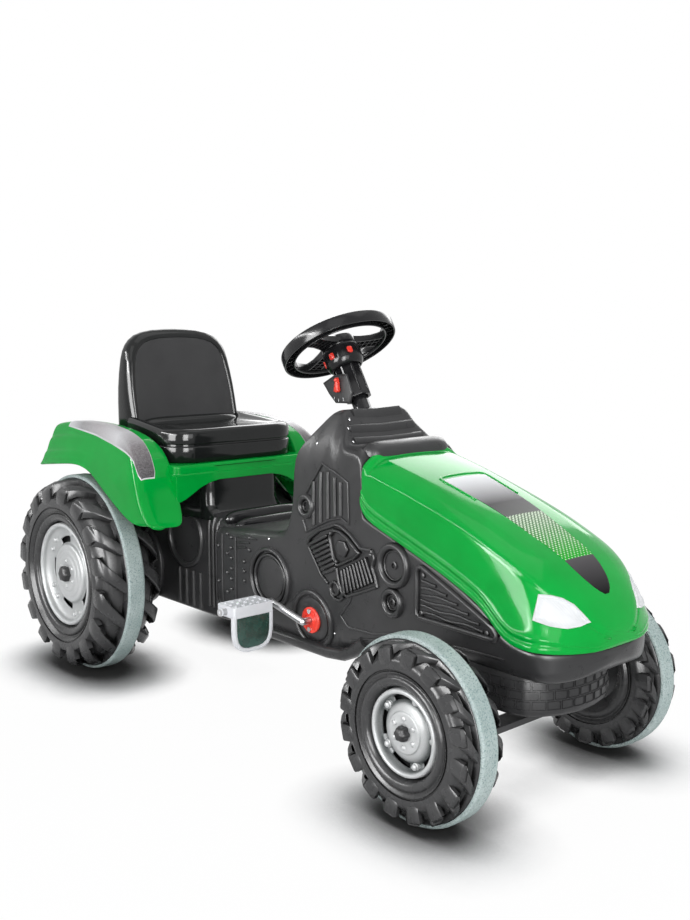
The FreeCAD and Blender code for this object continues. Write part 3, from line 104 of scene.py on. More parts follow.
class Field:
    """One socket of a finish. Arithmetic on it adds Math nodes to the same finish."""

    def __init__(self, tree, socket=None):
        self.tree = tree
        self.socket = socket

    def node(self, kind, settings=None, sockets=None, output=0):
        """Any node: its settings come first, then the values or links of its sockets."""
        made = self.tree.nodes.new("ShaderNode" + kind)
        for name, value in (settings or {}).items():
            if name == "stops":
                self.set_stops(made.color_ramp, value)
            else:
                setattr(made, name, value)
        for name, value in (sockets or {}).items():
            if isinstance(name, int):
                socket = made.inputs[name]
            else:
                socket = next(s for s in made.inputs if name in (s.identifier, s.name))
            if isinstance(value, Field):
                self.tree.links.new(value.socket, socket)
            else:
                socket.default_value = value
        return Field(self.tree, made.outputs[output])

    @staticmethod
    def set_stops(ramp, stops):
        while len(ramp.elements) < len(stops):
            ramp.elements.new(0.5)
        for element, (place, colour) in zip(ramp.elements, stops):
            element.position = place
            element.color = (*colour, 1.0)

    def math(self, operation, *others):
        sockets = {index: value for index, value in enumerate(others)}
        return self.node("Math", {"operation": operation}, sockets)

    def __add__(self, other):
        return self.math("ADD", self, other)

    def __radd__(self, other):
        return self.math("ADD", other, self)

    def __sub__(self, other):
        return self.math("SUBTRACT", self, other)

    def __rsub__(self, other):
        return self.math("SUBTRACT", other, self)

    def __mul__(self, other):
        return self.math("MULTIPLY", self, other)

    def __rmul__(self, other):
        return self.math("MULTIPLY", other, self)

    def __lt__(self, other):
        return self.math("LESS_THAN", self, other)

    def __gt__(self, other):
        return self.math("GREATER_THAN", self, other)

    def fract(self):
        return self.math("FRACT", self)

    def size(self):
        return self.math("ABSOLUTE", self)

    def ramp(self, low, high):
        """0 below low, 1 above high, straight between."""
        limits = {"Value": self, "From Min": low, "From Max": high}
        return self.node("MapRange", {"clamp": True}, limits)

    def blend(self, first, second):
        """Colour between two, by this value."""
        colours = {
            "Factor_Float": self, "A_Color": as_colour(first), "B_Color": as_colour(second),
        }
        return self.node("Mix", {"data_type": "RGBA"}, colours, output=2)


def as_colour(value):
    return value if isinstance(value, Field) else (*value, 1.0)


def linear(red, green, blue):
    """A screen colour of 0 to 255 as light."""
    shares = [channel / 255 for channel in (red, green, blue)]
    return tuple(s / 12.92 if s <= 0.04045 else ((s + 0.055) / 1.055) ** 2.4 for s in shares)


def finish_start(name):
    """A new finish: its material, a field to build from and the place on the part in metres."""
    material = bpy.data.materials.new(name)
    material.use_nodes = True
    start = Field(material.node_tree)
    place = start.node("TexCoord", output=3)
    return material, start, place


def set_finish(material, values, colour, gloss=None, normal=None):
    """Constants go on the shader's own sockets, what varies is linked."""
    shader = material.node_tree.nodes["Principled BSDF"]
    for name, value in values.items():
        shader.inputs[name].default_value = value
    for name, field in (("Base Color", colour), ("Roughness", gloss), ("Normal", normal)):
        if field is not None:
            material.node_tree.links.new(field.socket, shader.inputs[name])
    return material


def axes(start, place):
    """The three parts of a place."""
    parts = start.node("SeparateXYZ", None, {"Vector": place})
    return [Field(parts.tree, output) for output in parts.socket.node.outputs]


def noise(start, place, scale, detail=2.0):
    return start.node("TexNoise", None, {"Vector": place, "Scale": scale, "Detail": detail})


def bumped(start, height, strength, distance):
    sockets = {"Height": height, "Strength": strength, "Distance": distance}
    return start.node("Bump", None, sockets)


# How far a recess is felt, in metres, and the colour of the shade painted at its bottom.
RECESS_REACH = 0.012
RIM_RECESS_REACH = 0.026
RECESS_PAINTED_SHADE = (0.006, 0.006, 0.006)


def openness(start, reach):
    """1 on open faces, less in a recess of the same piece."""
    settings = {"samples": 8, "only_local": True}
    return start.node("AmbientOcclusion", settings, {"Distance": reach}, output=1)


def moulded(name, dark, light, rough, grain=900.0, depth=0.25, shine=0.5, recess=None):
    """Moulded plastic: faint clouding, an uneven gloss, a fine grain in the surface and painted
    shade in recesses.
    """
    material, start, place = finish_start(name)
    cloud = noise(start, place, 14.0, 4.0)
    fine = noise(start, place, grain)
    handled = noise(start, place, 55.0, 5.0)
    colour = cloud.ramp(0.3, 0.7).blend(dark, light)
    # Painted shade: the colour darkens towards near black in the piece's own recesses.
    if recess:
        colour = openness(start, RECESS_REACH).ramp(*recess).blend(RECESS_PAINTED_SHADE, colour)
    gloss = rough[0] + (rough[1] - rough[0]) * handled.ramp(0.35, 0.7) + 0.03 * fine
    normal = bumped(start, fine + 0.4 * handled, depth, 0.0004)
    values = {"Specular IOR Level": shine}
    return set_finish(material, values, colour, gloss, normal)


def grip_rubber(name):
    """Grey speckled tread band with a chopped texture."""
    material, start, place = finish_start(name)
    fleck = start.node("TexVoronoi", {"feature": "F1"}, {"Vector": place, "Scale": 620.0})
    speck = noise(start, place, 520.0, 3.0)
    cloud = noise(start, place, 22.0, 3.0)
    base = cloud.ramp(0.3, 0.7).blend(linear(150, 167, 165), linear(180, 193, 191))
    colour = speck.ramp(0.5, 0.68).blend(base, linear(112, 134, 132))
    colour = fleck.ramp(0.25, 0.08).blend(colour, linear(206, 216, 213))
    normal = bumped(start, speck + 0.5 * fleck, 0.5, 0.0009)
    gloss = 0.62 + 0.2 * speck
    return set_finish(material, {}, colour, gloss, normal)


def silver_paint(name):
    """Sprayed silver with fine flake, and shade painted darker into its recesses."""
    material, start, place = finish_start(name)
    flake = start.node("TexVoronoi", {"feature": "F1"}, {"Vector": place, "Scale": 1500.0})
    cloud = noise(start, place, 20.0, 3.0)
    colour = cloud.ramp(0.3, 0.7).blend((0.48, 0.49, 0.49), (0.58, 0.59, 0.59))
    colour = flake.ramp(0.5, 0.05).blend(colour, (0.63, 0.64, 0.64))
    # Painted shade: the silver darkens to near black deep in the rim's own recesses.
    colour = openness(start, RIM_RECESS_REACH).ramp(0.5, 0.96).blend((0.09, 0.10, 0.10), colour)
    normal = bumped(start, flake, 0.12, 0.0003)
    gloss = 0.36 + 0.12 * cloud
    values = {"Metallic": 0.1, "Specular IOR Level": 0.3}
    return set_finish(material, values, colour, gloss, normal)


def lamp_silver(name):
    """Pale reflective lamp face with fine prism lines."""
    material, start, place = finish_start(name)
    _, across, height = axes(start, place)
    lines = ((across * 320.0 + height * 140.0).fract() - 0.5).size()
    cloud = noise(start, place, 30.0, 3.0)
    colour = cloud.ramp(0.3, 0.7).blend((0.62, 0.64, 0.65), (0.76, 0.77, 0.78))
    normal = bumped(start, lines, 0.2, 0.0008)
    gloss = 0.18 + 0.12 * cloud
    values = {"Specular IOR Level": 0.12}
    return set_finish(material, values, colour, gloss, normal)


def drawn_steel(name):
    """Bright plated steel with faint drawing lines."""
    material, start, place = finish_start(name)
    lines = start.node(
        "TexWave", {"bands_direction": "Y"}, {"Vector": place, "Scale": 500.0, "Distortion": 3.0}
    )
    cloud = noise(start, place, 60.0, 4.0)
    colour = cloud.ramp(0.3, 0.7).blend((0.40, 0.40, 0.41), (0.56, 0.56, 0.57))
    normal = bumped(start, lines, 0.08, 0.0002)
    gloss = 0.24 + 0.16 * cloud
    return set_finish(material, {"Metallic": 1.0}, colour, gloss, normal)


def dotted_panel(name):
    """Dark green panel with rows of small warm dots."""
    material, start, place = finish_start(name)
    _, side, rise = axes(start, place)
    across = (side * 460.0).fract() - 0.5
    upward = (rise * 460.0).fract() - 0.5
    upper = rise.ramp(CRANK.z - 0.040, CRANK.z - 0.020)
    dots = (across * across + upward * upward) < (0.1 * upper)
    cloud = noise(start, place, 70.0, 4.0)
    base = cloud.ramp(0.3, 0.7).blend(linear(8, 54, 46), linear(18, 76, 66))
    colour = (dots * 0.25).blend(base, linear(130, 62, 44))
    normal = bumped(start, dots + 0.3 * cloud, 0.4, 0.0005)
    gloss = 0.16 + 0.2 * cloud
    return set_finish(material, {}, colour, gloss, normal)


def strip_label(name, rear, front):
    """Brushed silver label that darkens towards its ends, with places along x in millimetres."""
    material, start, place = finish_start(name)
    x, _, _ = axes(start, place)
    share = x.ramp(spot(rear, 0, 0).x, spot(front, 0, 0).x)
    brushed = noise(start, place, 420.0, 3.0)
    tones = [
        (0.0, linear(215, 216, 218)), (0.18, linear(150, 148, 150)), (0.42, linear(176, 172, 174)),
        (0.66, linear(206, 205, 207)), (0.86, linear(112, 106, 108)), (1.0, linear(58, 54, 56)),
    ]
    shade = start.node("ValToRGB", {"stops": tones}, {"Fac": share})
    colour = (brushed.ramp(0.3, 0.8) * 0.2).blend(shade, linear(236, 236, 238))
    normal = bumped(start, brushed, 0.1, 0.0002)
    gloss = 0.3 + 0.15 * brushed
    values = {"Specular IOR Level": 0.15}
    return set_finish(material, values, colour, gloss, normal)


def hood_label(name, rear, dots_start, dots_end, tip):
    """Hood label: pale at the back, dark band, green halftone, dark tip."""
    material, start, place = finish_start(name)
    x, y, _ = axes(start, place)
    ends = [spot(value, 0, 0).x for value in (rear, dots_start, dots_end, tip)]
    tones = [
        (0.0, linear(232, 234, 236)), (0.35, linear(176, 176, 178)), (0.72, linear(66, 64, 66)),
        (1.0, linear(96, 98, 96)),
    ]
    plain = start.node("ValToRGB", {"stops": tones}, {"Fac": x.ramp(ends[0], ends[1])})
    cell = 170.0
    u = ((x + y) * cell).fract() - 0.5
    v = ((x - y) * cell).fract() - 0.5
    fade = x.ramp(ends[1], ends[2])
    dots = (u * u + v * v) < (0.13 - 0.10 * fade)
    ground = fade.blend(linear(96, 110, 92), linear(40, 168, 48))
    halftone = dots.blend(ground, linear(222, 238, 214))
    tail = x.ramp(ends[2], ends[3]).blend(linear(88, 86, 88), linear(22, 21, 22))
    colour = (x > ends[1]).blend(plain, halftone)
    colour = (x > ends[2]).blend(colour, tail)
    fine = noise(start, place, 600.0)
    normal = bumped(start, fine, 0.06, 0.0002)
    gloss = 0.3 + 0.08 * fine
    values = {"Specular IOR Level": 0.03}
    return set_finish(material, values, colour, gloss, normal)


GREEN = moulded(
    "green_shell", linear(0, 153, 55), linear(3, 165, 62), (0.05, 0.10), 700.0, 0.03, shine=0.13
)
# The body has shade painted darker into its recesses.
BODY_BLACK = moulded(
    "body_black", (0.026, 0.026, 0.027), (0.038, 0.038, 0.039), (0.26, 0.36), 1100.0,
    shine=0.28, recess=(0.5, 0.94),
)
SEAT_BLACK = moulded(
    "seat_black", (0.008, 0.009, 0.009), (0.013, 0.014, 0.014), (0.07, 0.13), 800.0, 0.05,
    shine=0.26,
)
PAD_BLACK = moulded(
    "pad_black", (0.030, 0.030, 0.031), (0.040, 0.040, 0.041), (0.34, 0.46), 1300.0, 0.5, shine=0.3
)
# The tyres have shade painted darker into their recesses.
TYRE_BLACK = moulded(
    "tyre_black", (0.040, 0.040, 0.041), (0.056, 0.056, 0.057), (0.2, 0.32), 900.0, 0.12,
    shine=0.28, recess=(0.5, 0.9),
)
BLACK_GLOSS = moulded(
    "black_gloss", (0.009, 0.009, 0.010), (0.016, 0.016, 0.017), (0.11, 0.2), 900.0, 0.1, shine=0.24
)
BLACK_PLASTIC = moulded(
    "black_plastic", (0.022, 0.022, 0.023), (0.036, 0.036, 0.037), (0.34, 0.5), shine=0.3
)
RED = moulded(
    "red_plastic", linear(238, 58, 46), linear(248, 78, 60), (0.2, 0.34), 900.0, 0.12, shine=0.25
)
WHITE = moulded(
    "white_plastic", linear(212, 214, 218), linear(228, 229, 232), (0.3, 0.44), 900.0, 0.15,
    shine=0.2,
)
GRIP = grip_rubber("grip_band")
SILVER = silver_paint("silver_rim")
LAMP = lamp_silver("lamp_lens")
STEEL = drawn_steel("steel")
PANEL = dotted_panel("dark_panel")


# Mesh building.


class Shell:
    """Corners and faces of one piece, gathered before it becomes a mesh."""

    def __init__(self):
        self.corners = []
        self.faces = []

    def grid(self, rows, closed=False, looped=False, start=False, end=False):
        """Faces between rows; closed joins each row's ends, looped the last row to the first."""
        first = len(self.corners)
        wide = len(rows[0])
        tall = len(rows)
        for row in rows:
            self.corners.extend(row)
        for low in range(tall if looped else tall - 1):
            high = (low + 1) % tall
            for near in range(wide if closed else wide - 1):
                far = (near + 1) % wide
                self.faces.append((
                    first + low * wide + near, first + low * wide + far,
                    first + high * wide + far, first + high * wide + near,
                ))
        if start:
            self.faces.append(tuple(first + place for place in reversed(range(wide))))
        if end:
            last = first + (tall - 1) * wide
            self.faces.append(tuple(last + place for place in range(wide)))
        return self

    def turned(self, place, profile, steps=72, looped=False, start=False, end=False, wave=None):
        """A turned form: (radius, along) pairs about the third axis of a frame."""
        rows = []
        for radius, rise in profile:
            row = []
            for step in range(steps):
                angle = 2 * math.pi * step / steps
                reach = radius * (wave(angle, radius) if wave else 1.0)
                row.append(round_spot(place, reach, angle, rise))
            rows.append(row)
        return self.grid(rows, True, looped, start, end)

    def pad(self, lay, outline, height, edge, foot=-1.0):
        """A raised pad with an eased edge; lay takes (u, v, height) to its place."""
        loops = [
            [(u, v, foot) for u, v in outline],
            [(u, v, height - edge) for u, v in outline],
            [(u, v, height - 0.3 * edge) for u, v in inset(outline, 0.3 * edge)],
            [(u, v, height) for u, v in inset(outline, edge)],
        ]
        return self.grid([[lay(*point) for point in loop] for loop in loops], True, end=True)

    def ridge(self, lay, path, width, height, closed=False, foot=-1.0):
        """A half-round ridge along a path of (u, v) places."""
        half = width / 2
        profile = [(-half, foot), (-half, 0.35 * height), (-0.55 * half, 0.9 * height)]
        profile += [(0.0, height), (0.55 * half, 0.9 * height), (half, 0.35 * height), (half, foot)]
        rows = []
        for (u, v), (nu, nv) in zip(path, normals(path, closed)):
            rows.append([lay(u + nu * side, v + nv * side, rise) for side, rise in profile])
        return self.grid(rows, looped=closed, start=not closed, end=not closed)

    def disc(self, lay, u, v, profile, steps=40):
        """A round relief: (radius, height) pairs from its foot to its middle."""
        rows = []
        for radius, height in profile:
            row = []
            for step in range(steps):
                angle = 2 * math.pi * step / steps
                row.append(lay(u + radius * math.cos(angle), v + radius * math.sin(angle), height))
            rows.append(row)
        return self.grid(rows, True, end=True)

    def block(self, place, low, high):
        """A box between two corners of a frame."""
        rows = []
        for z in (low[2], high[2]):
            corners = ((low[0], low[1]), (high[0], low[1]), (high[0], high[1]), (low[0], high[1]))
            rows.append([place @ (Vector((x, y, z)) * MM) for x, y in corners])
        return self.grid(rows, True, start=True, end=True)


def normals(path, closed):
    """Unit normals of a flat path, averaged at its corners."""
    found = []
    count = len(path)
    for index in range(count):
        before = path[index - 1] if closed or index else path[index]
        after = path[(index + 1) % count] if closed or index < count - 1 else path[index]
        run = Vector((after[0] - before[0], after[1] - before[1]))
        run.normalize()
        found.append((-run.y, run.x))
    return found


def area(outline):
    pairs = zip(outline, outline[1:] + outline[:1])
    return sum(a[0] * b[1] - b[0] * a[1] for a, b in pairs) / 2


def inset(outline, depth):
    """A closed outline moved inward by a depth."""
    turn = 1.0 if area(outline) > 0 else -1.0
    moved = []
    for (u, v), (nu, nv) in zip(outline, normals(outline, True)):
        moved.append((u + nu * depth * turn, v + nv * depth * turn))
    return moved


def rounded_box(low, high, corner, steps=7):
    """A rectangle's outline with round corners."""
    found = []
    centres = (
        (high[0] - corner, high[1] - corner, 0), (low[0] + corner, high[1] - corner, 90),
        (low[0] + corner, low[1] + corner, 180), (high[0] - corner, low[1] + corner, 270),
    )
    for u, v, first in centres:
        for step in range(steps):
            angle = math.radians(first + 90 * step / (steps - 1))
            found.append((u + corner * math.cos(angle), v + corner * math.sin(angle)))
    return found


def stadium(start, end, width, steps=6):
    """A bar's outline with round ends."""
    run = Vector((end[0] - start[0], end[1] - start[1]))
    lean = math.atan2(run.y, run.x)
    found = []
    for (u, v), first in ((end, lean - math.pi / 2), (start, lean + math.pi / 2)):
        for step in range(steps):
            angle = first + math.pi * step / (steps - 1)
            found.append((u + width / 2 * math.cos(angle), v + width / 2 * math.sin(angle)))
    return found


def arc(u, v, radius, first, last, steps=24):
    found = []
    for step in range(steps + 1):
        angle = math.radians(mixed(first, last, step / steps))
        found.append((u + radius * math.cos(angle), v + radius * math.sin(angle)))
    return found


def divided(path, step):
    """A path with points added so that no run is longer than a step."""
    found = [path[0]]
    for start, end in zip(path, path[1:]):
        count = max(1, math.ceil(math.dist(start, end) / step))
        for index in range(1, count + 1):
            share = index / count
            found.append(tuple(mixed(a, b, share) for a, b in zip(start, end)))
    return found


def divided_loop(outline, step):
    """A closed outline with points added so that no run is longer than a step."""
    return divided(outline + outline[:1], step)[:-1]


def plate_profile(lift, foot):
    """Shares of the half width and heights across a thin plate."""
    return [(-1.0, foot)] + [(place / 5, lift) for place in range(-5, 6)] + [(1.0, foot)]


def round_spot(place, radius, angle, rise):
    """A place at a radius and an angle about the third axis of a frame."""
    return place @ (Vector((radius * math.cos(angle), radius * math.sin(angle), rise)) * MM)


def piece(
    name, shell, finish, body, stands_for=(), rounding=0.0, soften=0, thick=0.0, sharp=38,
):
    """Makes the mesh, eases its edges and sets it on its body."""
    mesh = bpy.data.meshes.new(name)
    mesh.from_pydata([tuple(corner) for corner in shell.corners], [], shell.faces)
    work = bmesh.new()
    work.from_mesh(mesh)
    bmesh.ops.remove_doubles(work, verts=work.verts, dist=1e-6)
    bmesh.ops.recalc_face_normals(work, faces=work.faces)
    work.to_mesh(mesh)
    work.free()
    mesh.polygons.foreach_set("use_smooth", [True] * len(mesh.polygons))
    mesh.set_sharp_from_angle(angle=math.radians(sharp))
    mesh.materials.append(finish)
    made = bpy.data.objects.new(name, mesh)
    bpy.context.scene.collection.objects.link(made)
    if soften:
        smooth = made.modifiers.new("soften", "SUBSURF")
        smooth.levels = soften
        smooth.render_levels = soften
        mesh.set_sharp_from_angle(angle=math.pi)
    if thick:
        wall = made.modifiers.new("wall", "SOLIDIFY")
        wall.thickness = thick * MM
        wall.offset = -1.0
    if rounding:
        bevel = made.modifiers.new("rounding", "BEVEL")
        bevel.width = rounding * MM
        bevel.segments = 3
        bevel.limit_method = "ANGLE"
        bevel.angle_limit = math.radians(sharp)
        bevel.harden_normals = True
    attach(made, body)
    if stands_for:
        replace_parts(made, *stands_for)
    return made


class Skin:
    """A finished surface that relief is laid on, looked at along one direction."""

    def __init__(self, made, direction):
        bpy.context.view_layer.update()
        self.tree = BVHTree.FromObject(made, bpy.context.evaluated_depsgraph_get())
        self.direction = Vector(direction)

    def lay(self, start, lift):
        hit = self.tree.ray_cast(start, self.direction)[0]
        if hit is None:
            hit = self.tree.find_nearest(start)[0]
        return hit - self.direction * lift * MM


# Body shell. The lines give a height or a half width at each place along x, or at each height.

BELLY_LINE = [
    (236, 136), (240, 132), (300, 114), (345, 108), (490, 108), (545, 133), (640, 158), (690, 165),
    (850, 164), (885, 172), (897, 186),
]
TOP_LINE = [
    (236, 244), (243, 251), (262, 257), (300, 260), (345, 263), (380, 266), (402, 270), (414, 278),
    (423, 292), (430, 318), (432.5, 350), (434, 380), (444, 398), (458, 417), (471, 431),
    (481, 440), (490, 442.5), (496, 442.5), (500, 440), (506, 430), (512, 422.5), (518, 415),
    (524, 406), (530, 400), (538, 397), (552, 396), (567, 393), (568, 360), (569, 320),
    (570, 312.5), (600, 304), (640, 291), (690, 274.5), (721, 264.5), (783, 239.5), (805, 218.5),
    (822, 208.5), (850, 205.5), (865, 204.8), (877, 204), (886, 203.5), (892, 203), (897, 202.5),
]
PLAN_LINE = [
    (236, 84), (240, 87), (250, 88), (567, 88), (640, 91), (721, 95), (783, 99), (822, 102),
    (850, 103), (862, 97), (872, 87), (882, 72), (890, 53), (895, 36), (897, 24),
]
SECTION_LINE = [
    (101, 78), (110, 80), (124, 80), (133, 81), (137.5, 87), (150, 88), (168, 90), (205, 104),
    (320, 104), (360, 94), (374, 89), (386, 87), (397, 82), (406, 76), (413, 70.5), (418, 66.5),
    (423, 65), (432, 63), (438, 60), (443, 55),
]
SHOULDER_BULGE = (512, 386, 3.5)
SHOULDER_SPREAD = (26, 20)
BELLY_ROUND = 12.0
TOP_ROUND = 7.0
FOOTWELL = (250, 420)
FOOTWELL_ROUND = 13.0


def body_half_width(x, z):
    """Half width at a place on the side, with a soft bulge at the dash's shoulder."""
    middle_x, middle_z, height = SHOULDER_BULGE
    long, tall = SHOULDER_SPREAD
    spread = ((x - middle_x) / long) ** 2 + ((z - middle_z) / tall) ** 2
    return min(along(PLAN_LINE, x), along(SECTION_LINE, z)) + height * math.exp(-spread)


def body_section(x, low, high):
    """Half of the body's section at x, from the middle of the belly up to the middle of the top."""
    belly = min(BELLY_ROUND, 0.4 * (high - low))
    in_footwell = FOOTWELL[0] < x < FOOTWELL[1]
    top = min(FOOTWELL_ROUND if in_footwell else TOP_ROUND, 0.4 * (high - low))
    heights = [low + belly * share for share in (0.0, 0.08, 0.35, 1.0)]
    shares = (0.14, 0.3, 0.45, 0.6, 0.75, 0.88)
    heights += [mixed(low + belly, high - top, share) for share in shares]
    heights += [high - top * share for share in (1.0, 0.62, 0.35, 0.15, 0.04, 0.0)]
    points = []
    for z in heights:
        wide = body_half_width(x, z)
        for gap, radius in ((z - low, belly), (high - z, top)):
            if gap < radius:
                wide -= radius - math.sqrt(radius ** 2 - (radius - gap) ** 2)
        points.append((wide, z))
    inner = (0.0, 0.45, 0.8)
    return (
        [(points[0][0] * share, low) for share in inner] + points
        + [(points[-1][0] * share, high) for share in reversed(inner)]
    )


def mirrored_loop(x, half):
    right = [spot(x, -y, z) for y, z in half]
    left = [spot(x, y, z) for y, z in reversed(half[1:-1])]
    return right + left


def body_skin():
    rows = [mirrored_loop(x, body_section(x, along(BELLY_LINE, x), top)) for x, top in TOP_LINE]
    shell = Shell().grid(rows, True, start=True, end=True)
    return piece("body_skin", shell, BODY_BLACK, "chassis",
                 ("body_shell",), soften=1)


# Place along x, lowest and highest place of the pedestal.
PEDESTAL_LINE = [
    (-75, 122, 268), (-72, 110, 270), (-60, 104, 270), (0, 104, 270), (100, 104, 270),
    (180, 104, 270), (203, 104, 269), (216, 104, 266), (236, 104, 262), (300, 106, 255),
]
PEDESTAL_HALF_WIDTH = 72
RISER_REAR = -70
RISER_FRONT = 200
RISER_CORNER = 22
# Height, and how far the riser flares out there.
RISER_LEVELS = (
    (258, 20), (263, 13), (268, 7), (274, 2.5), (281, 0), (300, 0), (322, 0), (338, 0), (340, 4),
)
HOUSING_RIBS = 10


def pedestal_box():
    wide = PEDESTAL_HALF_WIDTH
    rows = []
    for x, low, high in PEDESTAL_LINE:
        half = [(0, low), (wide - 9, low), (wide - 2, low + 2), (wide, low + 9)]
        half += [(wide, mixed(low, high, share)) for share in (0.3, 0.5, 0.7)]
        half += [(wide, high - 12), (wide - 3, high - 3), (wide - 12, high), (0, high)]
        rows.append(mirrored_loop(x, half))
    shell = Shell().grid(rows, True, start=True, end=True)
    riser = []
    for z, flare in RISER_LEVELS:
        low = (RISER_REAR, -wide - 0.4 * flare)
        high = (RISER_FRONT + flare, wide + 0.4 * flare)
        riser.append([spot(x, y, z) for x, y in rounded_box(low, high, RISER_CORNER, 10)])
    upper = Shell().grid(riser, True, start=True, end=True)
    piece("seat_riser", upper, SEAT_BLACK, "chassis", sharp=50)
    return piece("seat_pedestal", shell, BODY_BLACK, "chassis", soften=1)


def axle_housings():
    """Round housings that carry the rear axle on each side of the pedestal."""
    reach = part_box("rear_axle_bush_right")[1].y / -MM + 8
    foot = PEDESTAL_HALF_WIDTH - 4
    profile = [
        (70, foot), (70, foot + 8), (67, foot + 11), (61, foot + 12), (58, foot + 15),
        (44, reach - 18), (40, reach - 10), (33, reach - 7), (33, reach - 1), (31, reach),
        (18, reach),
    ]
    for word, side in SIDES:
        place = side_frame(REAR_AXLE, side)
        shell = Shell().turned(place, profile, 72, end=True, start=True)
        for index in range(HOUSING_RIBS):
            spoke = place @ Matrix.Rotation(2 * math.pi * index / HOUSING_RIBS, 4, "Z")
            shell.block(spoke, (36, -1.6, foot + 4), (62, 1.6, foot + 22))
        piece("axle_housing_" + word, shell, BODY_BLACK, "chassis", rounding=1.2)


def side_frame(centre, side):
    """A frame whose third axis points out to a side, with its second axis up."""
    out = Vector((0, side, 0))
    up = Vector((0, 0, 1))
    first = up.cross(out)
    turn = Matrix((first, up, out)).transposed().to_4x4()
    return Matrix.Translation(centre) @ turn


# Relief on the body's sides. Places are along x and above the ground.

# Where the rays start that lay relief on a surface: beyond the sides and above the part.
FAR_SIDE = 300
FAR_ABOVE = 700
RING_PLACE = (380, 199)
RING_FACE = [(29.5, -1), (29, 1.0), (27, 1.6), (12, 1.8), (4, 1.8)]
CRANK_FACE = [(31, -1), (30.5, 1.2), (28.5, 2.0), (19, 2.4)]
CAP_PLACE = (461, 313)
# Profile of a dark disc in the cap's middle: painted shade standing in for its hole.
CAP_HOLE_SHADE = [(8.4, -1), (8.3, 0.4), (6, 0.5), (1, 0.5)]
# Place, outer and inner radius of each pulley.
PULLEYS = ((632, 261, 28.0, 20.5), (630, 214, 18.5, 11.5))
PULLEY_BOSS = [(5.2, -1), (5.0, 1.8), (3.8, 2.6), (3.2, 2.6), (2.8, 0.8), (1, 0.8)]
GRILLE = [
    (674, 262), (677, 267), (683, 268), (745, 243), (800, 220), (806, 214), (802, 207), (680, 206),
    (674, 210),
]
# Height, and the grille's front edge there.
GRILLE_FRONT = [(205, 796), (214, 798), (220, 790), (243, 738), (262, 688)]
GRILLE_SCREWS = ((684, 258), (682, 212), (790, 212))
GRILLE_SCREW = [(3.4, -1), (3.2, 2.2), (1.6, 3.0), (0.5, 3.1)]
SLAT_COUNT = 7
SLAT_LOWEST = 213
SLAT_STEP = 7.4
SLAT_REAR = 682
SHORTEST_SLAT = 10
# First and last start, first and last end, count and width of each row of cooling fins.
FINS = (
    ((471, 263), (499, 228), (504, 279), (522, 239), 8, 4.6),
    ((540, 209), (594, 234), (534, 237), (580, 261), 9, 4.2),
)
ENGINE_COVER = [
    (511, 280), (519, 289), (532, 288), (546, 282), (568, 266), (558, 258), (527, 243), (518, 255),
]
COVER_NUT = (536, 267)
COVER_NUT_SIZE = (13, 12)
ENGINE_EDGE = [
    (464, 262), (469, 271), (488, 284), (505, 290), (522, 296), (531, 295), (549, 287), (569, 272),
    (590, 273),
]
# Path, longest run between its points, width and height of the ridges round the engine.
ENGINE_RIDGES = (
    (ENGINE_EDGE, 7, 5.0, 4.6),
    ([(590, 273), (596, 264), (592, 252), (598, 240), (602, 228)], 6, 5.0, 4.6),
    ([(466, 258), (478, 242), (492, 224), (505, 215)], 6, 4.0, 3.4),
    ([(523, 239), (527, 222), (534, 208), (544, 205), (556, 210), (600, 228)], 7, 4.6, 4.4),
)
DRAIN_PLACE = (519, 211)
DRAIN_LIP = [(512, 203), (520, 197), (530, 197), (537, 203)]
ENGINE_STUDS = ((592, 268), (525, 248), (514, 284))
ENGINE_STUD = [(3.2, -1), (3.0, 5.6), (2.0, 6.8), (0.5, 7.0)]
# Place along x, lower and upper end of each upright bar beside the dash.
BARS = ((475, 290, 348), (489, 294, 362), (504, 302, 364), (518, 307, 358), (529, 309, 353))
BAR_BORDER = [
    (460, 331), (474, 350), (490, 373), (516, 366), (543, 354), (545, 300), (531, 306), (507, 300),
    (484, 290), (460, 278), (453, 293),
]
UPRIGHTS = (244, 262, 296)
UPRIGHT_ENDS = (130, 246)
# Height and front end of each line that runs forward from the same place along x.
LEVEL_LINES = ((250, 347), (242, 330), (234, 322))
LEVEL_START = 300
# Place along x, lowest and highest place and count of each row of rivets.
RIVETS = (
    (285, 166, 244, 6), (252, 173, 227, 2), (317, 184, 213, 3), (275, 160, 248, 4),
    (330, 232, 250, 2),
)
RIVET = [(3.3, -1), (3.1, 1.6), (2.0, 3.0), (0.5, 3.5)]
FRONT_CREASE = [(556, 236), (548, 200), (528, 176), (544, 163), (590, 165), (640, 176)]
SILL_CREASE = [(548, 146), (640, 172), (690, 182), (812, 186)]
SIDE_SCREWS = ((471, 398), (512, 147), (375, 255))
SIDE_SCREW = [(1.6, -1), (1.5, 0.8), (1.0, 1.2), (0.3, 1.3)]


